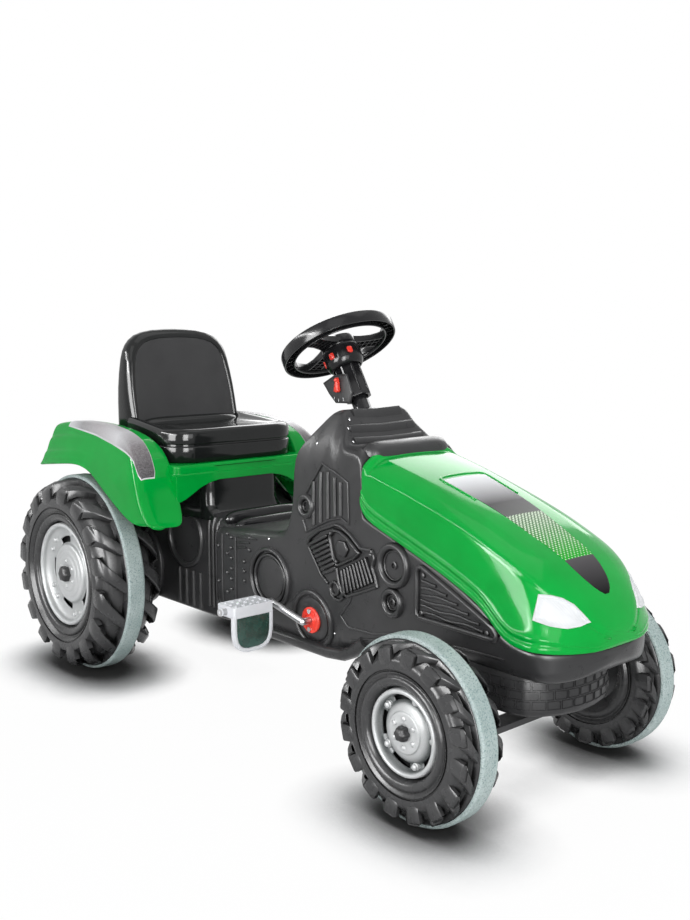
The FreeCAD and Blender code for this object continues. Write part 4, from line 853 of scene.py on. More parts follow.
def side_relief(skin, word, side):
    """Panel lines, rings, pulleys, finned engine and grille on one side of the body."""

    def lay(x, z, height):
        return skin.lay(spot(x, side * FAR_SIDE, z), height)

    def add(name, shell, finish=BODY_BLACK):
        piece("%s_%s" % (name, word), shell, finish, "chassis", sharp=50)

    def circle(shell, x, z, radius, width, height):
        shell.ridge(lay, arc(x, z, radius, 0, 354, 59), width, height, closed=True)

    rings = Shell()
    circle(rings, *RING_PLACE, 42, 6.5, 6.5)
    circle(rings, *RING_PLACE, 34, 4.6, 4.2)
    rings.disc(lay, *RING_PLACE, RING_FACE)
    crank_x = (CRANK.x - REAR_AXLE.x) / MM
    crank_z = CRANK.z / MM
    circle(rings, crank_x, crank_z, 38, 8.0, 5.0)
    rings.disc(lay, crank_x, crank_z, CRANK_FACE)
    circle(rings, *CAP_PLACE, 12.6, 9.0, 7.0)
    circle(rings, *CAP_PLACE, 6.4, 2.6, 3.0)
    # Painted shade: a dark glossy disc where the cap's hole would be dark.
    painted_hole_shade = Shell().disc(lay, *CAP_PLACE, CAP_HOLE_SHADE, 28)
    add("cap_hole_painted_shade", painted_hole_shade, BLACK_GLOSS)
    add("ring_relief", rings)

    pulleys = Shell()
    for x, z, outer, inner in PULLEYS:
        circle(pulleys, x, z, (outer + inner) / 2, outer - inner + 1.5, 7.0)
        circle(pulleys, x, z, inner - 2.5, 2.6, 2.2)
        pulleys.disc(lay, x, z, PULLEY_BOSS, 24)
    add("pulley_relief", pulleys)

    grille = Shell()
    grille.ridge(lay, divided_loop(GRILLE, 9), 6.5, 5.0, closed=True)
    for index in range(SLAT_COUNT):
        level = SLAT_LOWEST + index * SLAT_STEP
        end = along(GRILLE_FRONT, level) - 9
        if end > SLAT_REAR + SHORTEST_SLAT:
            path = []
            for x in range(SLAT_REAR, int(end), 6):
                path.append((x, level + 1.1 * math.sin(x * 0.11 + 1.7 * index)))
            grille.ridge(lay, path, 4.2, 2.4)
    for x, z in GRILLE_SCREWS:
        grille.disc(lay, x, z, GRILLE_SCREW, 16)
    add("grille_relief", grille)

    engine = Shell()
    for first_start, last_start, first_end, last_end, count, width in FINS:
        for index in range(count):
            share = index / (count - 1)
            start = between(first_start, last_start, share)
            end = between(first_end, last_end, share)
            engine.pad(lay, stadium(start, end, width), 5.5, 1.6)
    cover = divided_loop(ENGINE_COVER, 7)
    engine.pad(lay, cover, 2.6, 1.6)
    engine.ridge(lay, cover, 4.6, 6.5, closed=True)
    nut = []
    for corner in range(6):
        turn = math.pi * corner / 3
        nut.append((
            COVER_NUT[0] + COVER_NUT_SIZE[0] * math.cos(turn),
            COVER_NUT[1] + COVER_NUT_SIZE[1] * math.sin(turn),
        ))
    engine.pad(lay, divided_loop(nut, 5), 6.4, 2.0)
    for path, step, width, height in ENGINE_RIDGES:
        engine.ridge(lay, divided(path, step), width, height)
    circle(engine, *DRAIN_PLACE, 8.4, 4.4, 4.6)
    engine.ridge(lay, divided(DRAIN_LIP, 5), 4.4, 4.4)
    for x, z in ENGINE_STUDS:
        engine.disc(lay, x, z, ENGINE_STUD, 16)
    add("engine_relief", engine)

    lines = Shell()
    for x, low, high in BARS:
        lines.ridge(lay, divided([(x, low), (x, high)], 8), 7.0, 3.4)
    lines.ridge(lay, divided(BAR_BORDER, 8), 3.4, 2.4)
    for x in UPRIGHTS:
        lines.ridge(lay, divided([(x, z) for z in UPRIGHT_ENDS], 10), 3.4, 2.4)
    for level, end in LEVEL_LINES:
        lines.ridge(lay, divided([(LEVEL_START, level - 3), (end, level)], 9), 2.8, 1.6)
    for x, low, high, count in RIVETS:
        for index in range(count):
            lines.disc(lay, x, mixed(low, high, index / (count - 1)), RIVET, 14)
    lines.ridge(lay, divided(FRONT_CREASE, 8), 4.0, 1.8)
    lines.ridge(lay, divided(SILL_CREASE, 10), 3.0, 1.6)
    add("panel_relief", lines)

    screws = Shell()
    for x, z in SIDE_SCREWS:
        screws.disc(lay, x, z, SIDE_SCREW, 16)
    add("small_screws", screws, STEEL)


# Place along x and both ends across of each ledge on the dash.
LEDGES = ((501, -42, 46), (515, -60, 57), (527, -62, 63))
DASH_SCREWS = ((506, -52), (514, -61), (527, -64))
DASH_SCREW = [(1.2, -1), (1.1, 0.6), (0.8, 0.9), (0.2, 1.0)]
COWL_ROLL = (558, 388)
COWL_ROLL_SIZE = (20, 18)
COWL_ROLL_HALF = 73
# Place along x, height and radius of each roll across the footwell.
FOOT_ROLLS = ((248, 263, 13), (275, 256, 12))
FOOT_ROLL_HALF = 72
RAIL_LINE = [(300, 122), (345, 119.5), (500, 119.5), (530, 123), (552, 134), (572, 150)]
RAIL_SECTION = ((66, -9), (84, -9), (89, -7), (92, -3), (92, 3), (89, 7), (84, 8), (66, 8))


def dash_details(top_skin):
    """Ledges, screws and roll of the dash, rolls across the footwell and rails along the belly."""

    def lay_down(x, y, height):
        return top_skin.lay(spot(x, y, FAR_ABOVE), height)

    ledges = Shell()
    for x, low, high in LEDGES:
        path = [(x, low), (x + 1.5, (low + high) / 2), (x, high)]
        ledges.ridge(lay_down, divided(path, 8), 7.0, 4.2)
    piece("dash_ledges", ledges, BODY_BLACK, "chassis", sharp=60)

    rows = []
    for step in range(49):
        y = mixed(-COWL_ROLL_HALF, COWL_ROLL_HALF, step / 48)
        ease = math.sqrt(max(0.0, 1 - (y / (COWL_ROLL_HALF + 0.5)) ** 8))
        to_end = COWL_ROLL_HALF - abs(y)
        rib = 1 + 0.07 * max(0.0, math.cos(math.pi * to_end / 4.5)) * (to_end < 13)
        row = []
        for turn in range(17):
            angle = math.pi * turn / 16
            x = COWL_ROLL[0] - COWL_ROLL_SIZE[0] * math.cos(angle) * ease
            row.append(spot(x, y, COWL_ROLL[1] + COWL_ROLL_SIZE[1] * rib * math.sin(angle) * ease))
        rows.append(row)
    roll = Shell().grid(rows, start=True, end=True)
    piece("cowl_roll", roll, BODY_BLACK, "chassis", rounding=1.0)

    screws = Shell()
    for x, y in DASH_SCREWS:
        screws.disc(lay_down, x, y, DASH_SCREW, 16)
    piece("dash_screws", screws, STEEL, "chassis", sharp=50)

    ribs = Shell()
    turns = [2 * math.pi * turn / 28 for turn in range(28)]
    for x, z, radius in FOOT_ROLLS:
        rows = []
        for step in range(33):
            y = FOOT_ROLL_HALF * math.cos(math.pi * step / 32)
            reach = radius * math.sqrt(max(0.02, 1 - (y / FOOT_ROLL_HALF) ** 6))
            row = []
            for turn in turns:
                row.append(spot(x + reach * math.cos(turn), y, z + reach * math.sin(turn)))
            rows.append(row)
        ribs.grid(rows, True, start=True, end=True)
    piece("footwell_ribs", ribs, BLACK_GLOSS, "chassis", sharp=60)

    rails = Shell()
    path = divided(RAIL_LINE, 12)
    for _, side in SIDES:
        rows = []
        for (x, z), (nx, nz) in zip(path, normals(path, False)):
            rows.append([spot(x + nx * rise, side * y, z + nz * rise) for y, rise in RAIL_SECTION])
        rails.grid(rows, True, start=True, end=True)
    piece("belly_rails", rails, BODY_BLACK, "chassis", sharp=50)


# Places along x, both ends and width of the upright ribs on the pedestal.
PEDESTAL_RIBS = (((206, 217, 228), (122, 262), 5.0), ((120, 140, 160, 180), (112, 170), 6.0))
PEDESTAL_BOSS = (140, 222, 46)


def pedestal_relief(made):
    """Upright ribs and a round boss on the pedestal's sides."""
    for word, side in SIDES:
        skin = Skin(made, (0, -side, 0))

        def lay(x, z, height):
            return skin.lay(spot(x, side * FAR_SIDE, z), height)

        shell = Shell()
        for places, ends, width in PEDESTAL_RIBS:
            for x in places:
                shell.ridge(lay, divided([(x, z) for z in ends], 12), width, 4.0)
        shell.ridge(lay, arc(*PEDESTAL_BOSS, 0, 354, 59), 8.0, 6.0, closed=True)
        piece("pedestal_relief_" + word, shell, BODY_BLACK, "chassis", sharp=50)


# Hood.

# Place along x, half width and height at the seam, the shoulder and the crown's edge, and the
# height of the crown.
HOOD_ROWS = [
    (567.4, 88, 314, 88, 372, 62, 389, 395), (600, 89.5, 304, 89, 364, 62, 380.5, 387),
    (640, 91, 291.5, 89.6, 354, 62, 370, 377), (680, 93, 278.5, 90, 342.5, 61, 357, 364),
    (721, 95, 265, 90, 330, 60, 343, 350), (755, 97.3, 252, 90, 318, 59, 330, 337),
    (783, 99, 240, 89.4, 306, 58, 316.6, 323), (805, 100.5, 219, 88.6, 296, 57.2, 306.3, 312.5),
    (822, 102, 209, 87.4, 287.5, 56, 298, 304), (838, 103, 207, 84, 277.5, 54, 289, 296),
    (852, 103, 206, 78.5, 266.5, 50, 278, 285), (865, 96, 205.2, 69, 256, 44, 267, 273.5),
    (877, 83, 204.3, 58, 246, 37, 254.6, 260), (886, 67, 203.6, 48, 236, 31, 243.4, 248),
    (893, 49, 203.2, 36, 226.5, 24, 232, 235), (897.5, 32, 203, 24.5, 217.5, 17, 221, 223),
]
HOOD_RIM = 4.2
CROWN_SHARE = 0.4
# Out from the seam and up from it, at the lip's corners.
HOOD_LIP = ((4.2, 2.0), (4.2, 6.5), (1.4, 8.2), (1.2, 11.0), (3.0, 12.6), (3.0, 15.6), (0.4, 17.6))
# Sections round the rear edge: place along x, lift of the upper part, tuck of the sides, lift of
# the seam.
HOOD_REAR = (
    (566.5, HOOD_RIM - 3.4, 5.0, 24), (567.1, HOOD_RIM - 1.2, 2.4, 20),
    (568.6, HOOD_RIM - 0.2, 0.7, 15), (571, HOOD_RIM, 0, 11), (574.5, HOOD_RIM, 0, 7.4),
    (576.5, 0.4, 0, 6), (578.5, -1.6, 0, 4.8), (581.5, -1.6, 0, 3.4), (584, 0.0, 0, 2.4),
)


def hood_half(row, rim):
    """Half of the hood's section, lip first; rim lifts its upper part."""
    _, low, seam, wide, shoulder, crown, edge, top = row
    ease = min(1.0, (shoulder - seam) / 46)
    points = [(low + 3.4, seam + 0.4)]
    points += [(low + out, seam + rise * ease) for out, rise in HOOD_LIP]
    foot = seam + 20 * ease
    for share in (0.3, 0.6, 0.86):
        bulge = 5.0 * share * (1 - share) * ease
        points.append((mixed(low, wide, share) + bulge, mixed(foot, shoulder, share)))
    points += [
        (wide + 0.4, shoulder - 4), (wide - 0.4, shoulder - 0.6), (wide - 2.4, shoulder + 2.2),
    ]
    for share in (0.3, 0.6, 0.88):
        bulge = 9.0 * share * (1 - share)
        y = mixed(wide, crown, share) + 0.6 * bulge
        points.append((y, mixed(shoulder, edge, share) + 0.8 * bulge))
    points += [(crown, edge + 0.3), (crown - 3.5, edge + 0.9)]
    for share in (0.66, 0.33, 0.0):
        points.append((crown * share, edge + 1.0 + (top - edge) * CROWN_SHARE * (1 - share ** 2)))
    return [(y, z + rim * clamped((z - shoulder + 20) / 20)) for y, z in points]


def hood_skin():
    first, second = HOOD_ROWS[:2]
    rows = []
    for x, rim, tuck, lift in HOOD_REAR:
        share = max(0.0, (x - first[0]) / (second[0] - first[0]))
        section = [mixed(a, b, share) for a, b in zip(first, second)]
        section[2] += lift
        rows.append((x, [(max(0.0, y - tuck * (y > 30)), z) for y, z in hood_half(section, rim)]))
    rows += [(row[0], hood_half(row, 0.0)) for row in HOOD_ROWS[1:]]
    loops = []
    for x, half in rows:
        right = [spot(x, -y, z) for y, z in half]
        loops.append(right + [spot(x, y, z) for y, z in reversed(half[:-1])])
    shell = Shell().grid(loops, end=True)
    return piece("hood_skin", shell, GREEN, "chassis",
                 ("hood",), soften=2, thick=3.0)


# Lamp outline across its own line of sight: along the hood's corner and up, from a middle place.
LAMP_MIDDLE = (868, 72)
LAMP_FACING = (0.75, 0.66)
LAMP_EDGE = [
    (-23, 265), (-9, 264), (3, 261), (16, 254), (26, 244), (34, 235), (20, 232), (6, 231),
    (-13, 234), (-31, 239),
]
# Inset and height of the rings round a lamp's face.
LAMP_RINGS = ((0.0, -1.5), (0.0, 0.9), (0.9, 1.8), (2.2, 1.8), (3.0, 1.0))
# Place along x and half width of the label.
LABEL_LINE = [
    (663, 38), (720, 35), (780, 31), (838, 26), (850, 24), (861, 20), (869, 15), (874, 9.5),
    (877, 4),
]
# Places along x of the label's pale end, the start and the end of its dots, and its tip.
LABEL_BANDS = (663, 758, 838, 877)
LABEL_BORDER = [(716, 38.5), (668, 41.5), (660, 40), (657, 34), (656, 0)]


def hood_lamps(hood):
    forward, outward = LAMP_FACING
    size = math.hypot(forward, outward)
    forward, outward = forward / size, outward / size
    outline = divided_loop(LAMP_EDGE, 3.5)
    inner = inset(outline, LAMP_RINGS[-1][0])
    middle_u = sum(u for u, _ in outline) / len(outline)
    middle_z = sum(z for _, z in outline) / len(outline)
    for word, side in SIDES:
        skin = Skin(hood, (-forward, -side * outward, 0))

        def lay(u, z, height):
            x = LAMP_MIDDLE[0] + outward * u + FAR_SIDE * forward
            y = LAMP_MIDDLE[1] - forward * u + FAR_SIDE * outward
            return skin.lay(spot(x, side * y, z), height)

        loops = []
        for depth, height in LAMP_RINGS:
            loops.append([lay(u, z, height) for u, z in inset(outline, depth)])
        for share in (0.3, 0.6, 0.9):
            loop = [(mixed(u, middle_u, share), mixed(z, middle_z, share)) for u, z in inner]
            loops.append([lay(u, z, 1.0 + 1.2 * share) for u, z in loop])
        shell = Shell().grid(loops, True, end=True)
        piece("headlamp_face_" + word, shell, LAMP, "chassis",
              ("headlamp_" + word,), sharp=50)


def hood_label_plate(top_skin):
    def lay(x, y, height):
        return top_skin.lay(spot(x, y, FAR_ABOVE), height)

    profile = plate_profile(0.5, -0.6)
    rows = []
    for step in range(61):
        x = mixed(LABEL_LINE[0][0], LABEL_LINE[-1][0], step / 60)
        wide = along(LABEL_LINE, x)
        rows.append([lay(x, wide * share, height) for share, height in profile])
    shell = Shell().grid(rows, start=True, end=True)
    finish = hood_label("hood_label", *LABEL_BANDS)
    piece("hood_label_plate", shell, finish, "chassis", sharp=60)

    border = LABEL_BORDER + [(x, -y) for x, y in reversed(LABEL_BORDER[:-1])]
    shell = Shell().ridge(lay, divided(border, 6), 4.2, 1.5)
    piece("label_border", shell, GREEN, "chassis", sharp=60)


# Fenders and deck.

# Matching places along x and heights of a fender's upper crease and of its lower edge.
FENDER_TOP = [
    (-105, 378), (-104.5, 386), (-101, 390.5), (-80, 394.5), (-40, 398), (10, 398.5), (60, 396),
    (100, 391), (130, 384), (150, 374.5), (166, 361), (180, 341), (194, 313), (207, 284),
    (215, 267), (220, 259), (222, 256),
]
FENDER_LOW = [
    (-105, 325.5), (-104, 325.6), (-98, 326.5), (-80, 328.5), (-40, 332.5), (0, 336), (34, 330.5),
    (60, 323), (88, 308.5), (107, 298.5), (126, 288.5), (143, 280), (160, 271.5), (175, 264),
    (188, 259.5), (200, 257), (208, 256),
]
# Height, and how far out the skirt is there.
FENDER_PROFILE = [(250, 196), (318, 193.5), (399, 166)]
FENDER_INNER = 128
# How far the last sections draw in, at the front end.
FENDER_TUCKS = [0.8, 2.5, 6, 13, 26]
# Share of the way down the skirt, and the steps it has stood out by there.
FENDER_STEPS = (
    (0.12, 0), (0.3, 0), (0.33, 1), (0.5, 1), (0.66, 1), (0.69, 2), (0.84, 2), (0.95, 2.6),
    (1.0, 3.2),
)
FENDER_STEP = 2.6
DECK = ((-104, -130), (203, 130))
DECK_CORNER = 12
# Height and inset of the deck's sections.
DECK_LEVELS = (
    (318, 3), (319, 1), (321, 0), (330, 0), (331, 1.4), (342, 1.4), (344, 2.6), (344.6, 7),
    (344.6, 40),
)
# Half of the outline of the apron under the deck's front edge: across and up.
APRON = [
    (-129, 330), (-129, 289), (-122, 289.5), (-112, 293), (-98, 301), (-84, 309), (-68, 315),
    (-50, 318),
]
APRON_ENDS = (178, 203.5)


def fender_section(top, low, side, tuck):
    """One section across a fender, from its inner lower edge over the top to the skirt's edge."""
    (x_top, z_top), (x_low, z_low) = top, low
    crease = along(FENDER_PROFILE, z_top) - tuck
    inner = FENDER_INNER - 7 * clamped((x_top - 120) / 50) + 0.75 * tuck
    step = FENDER_STEP * clamped((60 - x_top) / 120)
    points = []
    for share in (0.0, 0.35, 0.7, 0.95):
        points.append((mixed(x_low, x_top, share), inner, mixed(z_low, z_top, share)))
    points += [(x_top, inner + 2.5, z_top), (x_top, inner + 7, z_top + 0.6)]
    for share in (0.35, 0.7):
        points.append((x_top, mixed(inner + 7, crease, share), z_top + 1.6 * share))
    soft = 1 + 2.2 * clamped((x_top - 125) / 50)
    points.append((x_top, crease - 4 * soft, z_top + 0.8))
    points.append((x_top, crease - 0.6 * soft, z_top - 1.2 * soft))
    for share, lift in FENDER_STEPS:
        x = mixed(x_top, x_low, share)
        z = mixed(z_top, z_low, share)
        points.append((x, along(FENDER_PROFILE, z) + lift * step - tuck, z + 0.14 * tuck))
    return [spot(x, side * y, z) for x, y, z in points]


def fenders():
    tucks = [0.0] * (len(FENDER_TOP) - len(FENDER_TUCKS)) + FENDER_TUCKS
    made = {}
    for word, side in SIDES:
        ends = zip(FENDER_TOP, FENDER_LOW, tucks)
        rows = [fender_section(top, low, side, tuck) for top, low, tuck in ends]
        shell = Shell().grid(rows, start=True, end=True)
        made[word] = piece("fender_" + word, shell, GREEN, "chassis",
                           soften=2, thick=3.0)
    return made


def deck_plate():
    (rear, right), (front, left) = DECK
    rows = []
    for z, depth in DECK_LEVELS:
        low, high = (rear + depth, right + depth), (front - depth, left - depth)
        rows.append([spot(x, y, z) for x, y in rounded_box(low, high, DECK_CORNER)])
    shell = Shell().grid(rows, True, start=True, end=True)
    apron = APRON + [(-y, z) for y, z in reversed(APRON)]
    shell.grid([[spot(x, y, z) for y, z in apron] for x in APRON_ENDS], True, start=True, end=True)
    piece("deck_plate", shell, GREEN, "chassis", ("fender_deck",), rounding=1.2)


# Place along x and distance out of a strip's middle.
STRIP_LINE = [(-58, 154), (40, 157), (95, 160), (140, 163), (165, 165), (187, 168)]
STRIP_HALF_WIDTH = 15
STRIP_EDGE = 0.8


def fender_strips(made):
    finish = strip_label("strip_label", STRIP_LINE[0][0], STRIP_LINE[-1][0])
    for word, side in SIDES:
        skin = Skin(made[word], (0, 0, -1))

        def lay(x, y, height):
            return skin.lay(spot(x, side * y, FAR_ABOVE), height)

        def plate(half_width, gap, lift):
            profile = plate_profile(lift, -0.8)
            rows = []
            for step in range(61):
                share = step / 60
                x = mixed(STRIP_LINE[0][0] + gap, STRIP_LINE[-1][0] - gap, share)
                end = max(0.0, (share - 0.96) / 0.04)
                half = half_width - 3.5 * (1 - math.sqrt(max(0.0, 1 - end ** 2)))
                middle = along(STRIP_LINE, x)
                rows.append([lay(x, middle + half * place, height) for place, height in profile])
            return Shell().grid(rows, start=True, end=True)

        edge = plate(STRIP_HALF_WIDTH, 0, 0.5)
        piece("strip_edge_" + word, edge, LAMP, "chassis", sharp=60)
        strip = plate(STRIP_HALF_WIDTH - STRIP_EDGE, STRIP_EDGE, 0.8)
        piece("fender_strip_" + word, strip, finish, "chassis", sharp=60)


# Seat.

SEAT_PAN = ((-28, -124), (192, 124))
SEAT_PAN_ROUND = 46.0
# Place along x, and the share of the pan's full width there.
SEAT_PAN_WIDTHS = ((-28, 0.84), (20, 0.86), (50, 0.91), (80, 0.97), (105, 1.0), (192, 0.95))
# Height and inset of the pan's sections, from its foot over its rim to its middle.
SEAT_PAN_LEVELS = (
    (344.8, 5), (345.2, 2), (347, 0), (368, 0), (369.5, 0.4), (370.5, 2.4), (373, 2.4), (374, 0.4),
    (375.5, 0), (387, 0.3), (392, 1.6), (395.3, 4.6), (396.6, 9), (396.4, 14), (395.6, 19),
    (394.8, 24), (394, 32), (393.4, 52), (393, 80),
)
SEAT_PAN_RISE = 15
# Height and half width of the back.
SEAT_BACK_LINE = [
    (372, 108), (430, 107.5), (453, 106.5), (478, 104), (500, 100.5), (513, 97), (523, 92),
    (531, 85.5), (538.5, 75.5), (543.5, 61.5), (547, 42.5), (548.5, 20), (549, 0),
]
SEAT_BACK_FOOT = 378
SEAT_BACK_TALL = 171
SEAT_BACK_REAR = -8
# The front face at its foot and at its top.
SEAT_BACK_FRONT = (48, 10)
# Height of the middle that the rings draw in to, and the half sizes they are shares of.
SEAT_BACK_MIDDLE = (462, 108, 88)
# Share of the back's thickness and inset of each ring, round the border and over the panel.
SEAT_BORDER = (
    (0.0, 50), (0.0, 6), (0.02, 3), (0.10, 0.6), (0.2, 0), (0.56, 0), (0.68, 0.6), (0.79, 2.0),
    (0.88, 4.2), (0.95, 6.4), (0.985, 8.2), (1.0, 10.0), (0.995, 11.6), (0.98, 13.0), (0.955, 14.2),
    (0.8, 15.0),
)
SEAT_PANEL = (
    (0.92, 13.0), (0.94, 14.0), (0.932, 17), (0.912, 22), (0.89, 29), (0.873, 38), (0.868, 50),
    (0.868, 64), (0.868, 80), (0.868, 86),
)
SEAT_ROLL = (48, 391)
SEAT_ROLL_RADIUS = 15
SEAT_ROLL_HALF = 97


def seat_pan():
    (rear, right), (front, left) = SEAT_PAN
    rows = []
    for z, depth in SEAT_PAN_LEVELS:
        low, high = (rear + depth, right + depth), (front - depth, left - depth)
        corner = max(4.0, SEAT_PAN_ROUND - 0.9 * depth)
        row = []
        for x, y in rounded_box(low, high, corner, 10):
            taper = along(SEAT_PAN_WIDTHS, x)
            rise = SEAT_PAN_RISE * clamped((88 - x) / 62) ** 2 * clamped((z - SEAT_BACK_FOOT) / 10)
            row.append(spot(x, y * taper, z + rise * max(0.25, 1 - depth / 40)))
        rows.append(row)
    shell = Shell().grid(rows, True, start=True, end=True)
    piece("seat_pan", shell, SEAT_BLACK, "chassis", ("seat",), sharp=60)


def seat_back_outline():
    left = [(y, z) for z, y in divided(SEAT_BACK_LINE, 5)]
    return [(-y, z) for y, z in reversed(left)] + left[:-1]


def seat_back():
    """Back rest: a round border that stands in front of a sunken, lightly grained panel."""
    outline = seat_back_outline()
    middle, half_wide, half_tall = SEAT_BACK_MIDDLE

    def layer(share, depth):
        row = []
        for y, z in outline:
            y *= 1 - depth / half_wide
            z = middle + (z - middle) * (1 - depth / half_tall)
            front = mixed(*SEAT_BACK_FRONT, (z - SEAT_BACK_FOOT) / SEAT_BACK_TALL)
            row.append(spot(mixed(SEAT_BACK_REAR, front, share), y, z))
        return row

    shell = Shell().grid([layer(*ring) for ring in SEAT_BORDER], True, start=True, end=True)
    piece("seat_back", shell, SEAT_BLACK, "chassis", sharp=70)

    rows = []
    for step in range(41):
        y = mixed(-SEAT_ROLL_HALF, SEAT_ROLL_HALF, step / 40)
        ease = math.sqrt(max(0.0, 1 - (y / (SEAT_ROLL_HALF + 0.5)) ** 6))
        row = []
        for turn in range(13):
            angle = math.pi * turn / 12
            x = SEAT_ROLL[0] - SEAT_ROLL_RADIUS * math.cos(angle) * ease
            row.append(spot(x, y, SEAT_ROLL[1] + SEAT_ROLL_RADIUS * math.sin(angle) * ease))
        rows.append(row)
    shell = Shell().grid(rows, start=True, end=True)
    piece("seat_roll", shell, SEAT_BLACK, "chassis", sharp=60)

    shell = Shell().grid([layer(*ring) for ring in SEAT_PANEL], True, end=True)
    piece("seat_back_pad", shell, PAD_BLACK, "chassis", sharp=70)


# Wheels.


def wheel_frame(kind, side):
    centre = REAR_AXLE if kind == "rear" else FRONT_AXLE
    low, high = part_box("%s_band_%s" % (kind, "left" if side > 0 else "right"))
    return side_frame(Vector((centre.x, (low.y + high.y) / 2, centre.z)), side)


# Radius and half width of the band, half width over all, radius and depth of the lugs, radius of
# the rim and how far out its face is.
WHEELS = {
    "rear": {
        "band": 158, "half_band": 14, "half": 52, "lug": 145, "deep": 11, "rim": 82, "face": 41,
    },
    "front": {
        "band": 108, "half_band": 12.5, "half": 30, "lug": 100.5, "deep": 8, "rim": 49, "face": 23,
    },
}
BAND_THICKNESS = 5
BAND_RIBS = {"rear": 110, "front": 76}
BAND_RIB_DEPTH = 0.45
LUG_COUNT = 16
# Shares of a lug's half width: its feet, the eased edges of its face, and its face.
LUG_SHARES = (-1.0, -0.92, -0.72, 0.72, 0.92, 1.0)


def tyre(kind, word, side, body):
    sizes = WHEELS[kind]
    place = wheel_frame(kind, side)
    band = sizes["band"] - BAND_THICKNESS
    base = band - sizes["deep"]
    half, rim, face = sizes["half"], sizes["rim"], sizes["face"]
    shoulder = sizes["lug"] - sizes["deep"]
    bead = rim + (shoulder - rim) * 0.22
    wall = mixed(rim, shoulder, 0.45)
    seat = sizes["half_band"]
    scale = half / 52
    outer = [
        (rim - 3, face - 9), (rim + 2.0, face - 9), (rim + 3.2, face - 4), (rim + 4.0, face + 1),
        (rim + 6, face + 4.6), (bead, face + 6.4), (bead + 2.5, face + 6.4),
        (bead + 4.5, face + 5.0), (bead + 5.5, face + 3.4), (bead + 6.6, face + 3.0),
        (bead + 8, face + 3.6), (wall, half - 1.6), (wall + 1, half - 1.2),
        (wall + 1.6, half - 2.6), (wall + 3.2, half - 2.6), (wall + 3.8, half - 0.8),
        (mixed(wall, shoulder, 0.45), half), (mixed(wall, shoulder, 0.58), half - 1.0),
        (mixed(wall, shoulder, 0.66), half - 5 * scale), (shoulder - 4, half - 11 * scale),
        (shoulder, half - 14 * scale), (mixed(shoulder, base, 0.6), mixed(half, seat, 0.5)),
        (base - 1, seat + 6 * scale), (base, seat + 2), (band - 1.5, seat + 0.8),
        (band - 0.4, seat - 0.6), (band - 0.4, 0),
    ]
    back = [(radius, -rise) for radius, rise in reversed(outer[4:-1])]
    inner = [
        (rim - 6, 13 - half), (40 * scale, 12 - half), (22 * scale, 11.6 - half), (8, 11.6 - half),
    ]
    shell = Shell().turned(place, outer + back + inner, 96, end=True)
    for index in range(LUG_COUNT):
        for flip, shift in ((1, 0.0), (-1, 0.5)):
            lug_bar(shell, place, sizes, 2 * math.pi * (index + shift) / LUG_COUNT, flip, scale)
    piece("%s_tyre_mould_%s" % (kind, word), shell, TYRE_BLACK, body,
          ("%s_tyre_%s" % (kind, word),), sharp=44)


def lug_bar(shell, place, sizes, angle, flip, scale):
    """One curved tread bar, from beside the band over the shoulder and down the sidewall."""
    band = sizes["band"] - BAND_THICKNESS
    base = band - sizes["deep"]
    lug, half, seat = sizes["lug"], sizes["half"], sizes["half_band"]
    shoulder = lug - sizes["deep"]
    low_wall = mixed(sizes["rim"], shoulder, 0.7)
    pitch = 2 * math.pi / LUG_COUNT
    # Places along the bar: ground radius, across, lift, half width as a share of the pitch, sweep.
    course = [
        (base - 4, seat + 0.4, band - 1.2, 0.17, 0.0),
        (base - 4, mixed(seat, half, 0.3), band - 1.8, 0.19, 0.16),
        (mixed(base, shoulder, 0.4), mixed(seat, half, 0.62), mixed(band, lug, 0.45), 0.22, 0.36),
        (shoulder - 3, half - 5 * scale, lug - 0.5, 0.25, 0.55),
        (shoulder - 8, half - 3.5, lug - 3.5 * scale, 0.27, 0.62),
    ]
    rows = []
    for ground, across, lift, wide, sweep in course:
        middle = angle + pitch * sweep * flip
        radii = (ground, lift - 1.5, lift, lift, lift - 1.5, ground)
        turns = [middle + pitch * wide * share for share in LUG_SHARES]
        rows.append([(radius, turn, across) for radius, turn in zip(radii, turns)])
    # Places down the sidewall: radius, out, half width as a share of the pitch, sweep.
    wall_course = [
        (lug - 8 * scale, half + 0.6, 0.28, 0.65),
        (mixed(shoulder, low_wall, 0.5), half + 1.0, 0.30, 0.68),
        (low_wall, half + 0.4, 0.31, 0.70),
        (low_wall - 4 * scale, half - 0.6, 0.31, 0.70),
    ]
    depths = (-9 * scale, -0.9, 0, 0, -0.9, -9 * scale)
    for radius, out, wide, sweep in wall_course:
        middle = angle + pitch * sweep * flip
        turns = [middle + pitch * wide * share for share in LUG_SHARES]
        rows.append([(radius, turn, out + depth) for turn, depth in zip(turns, depths)])
    placed = []
    for row in rows:
        placed.append([round_spot(place, radius, turn, out * flip) for radius, turn, out in row])
    shell.grid(placed, start=True, end=True)


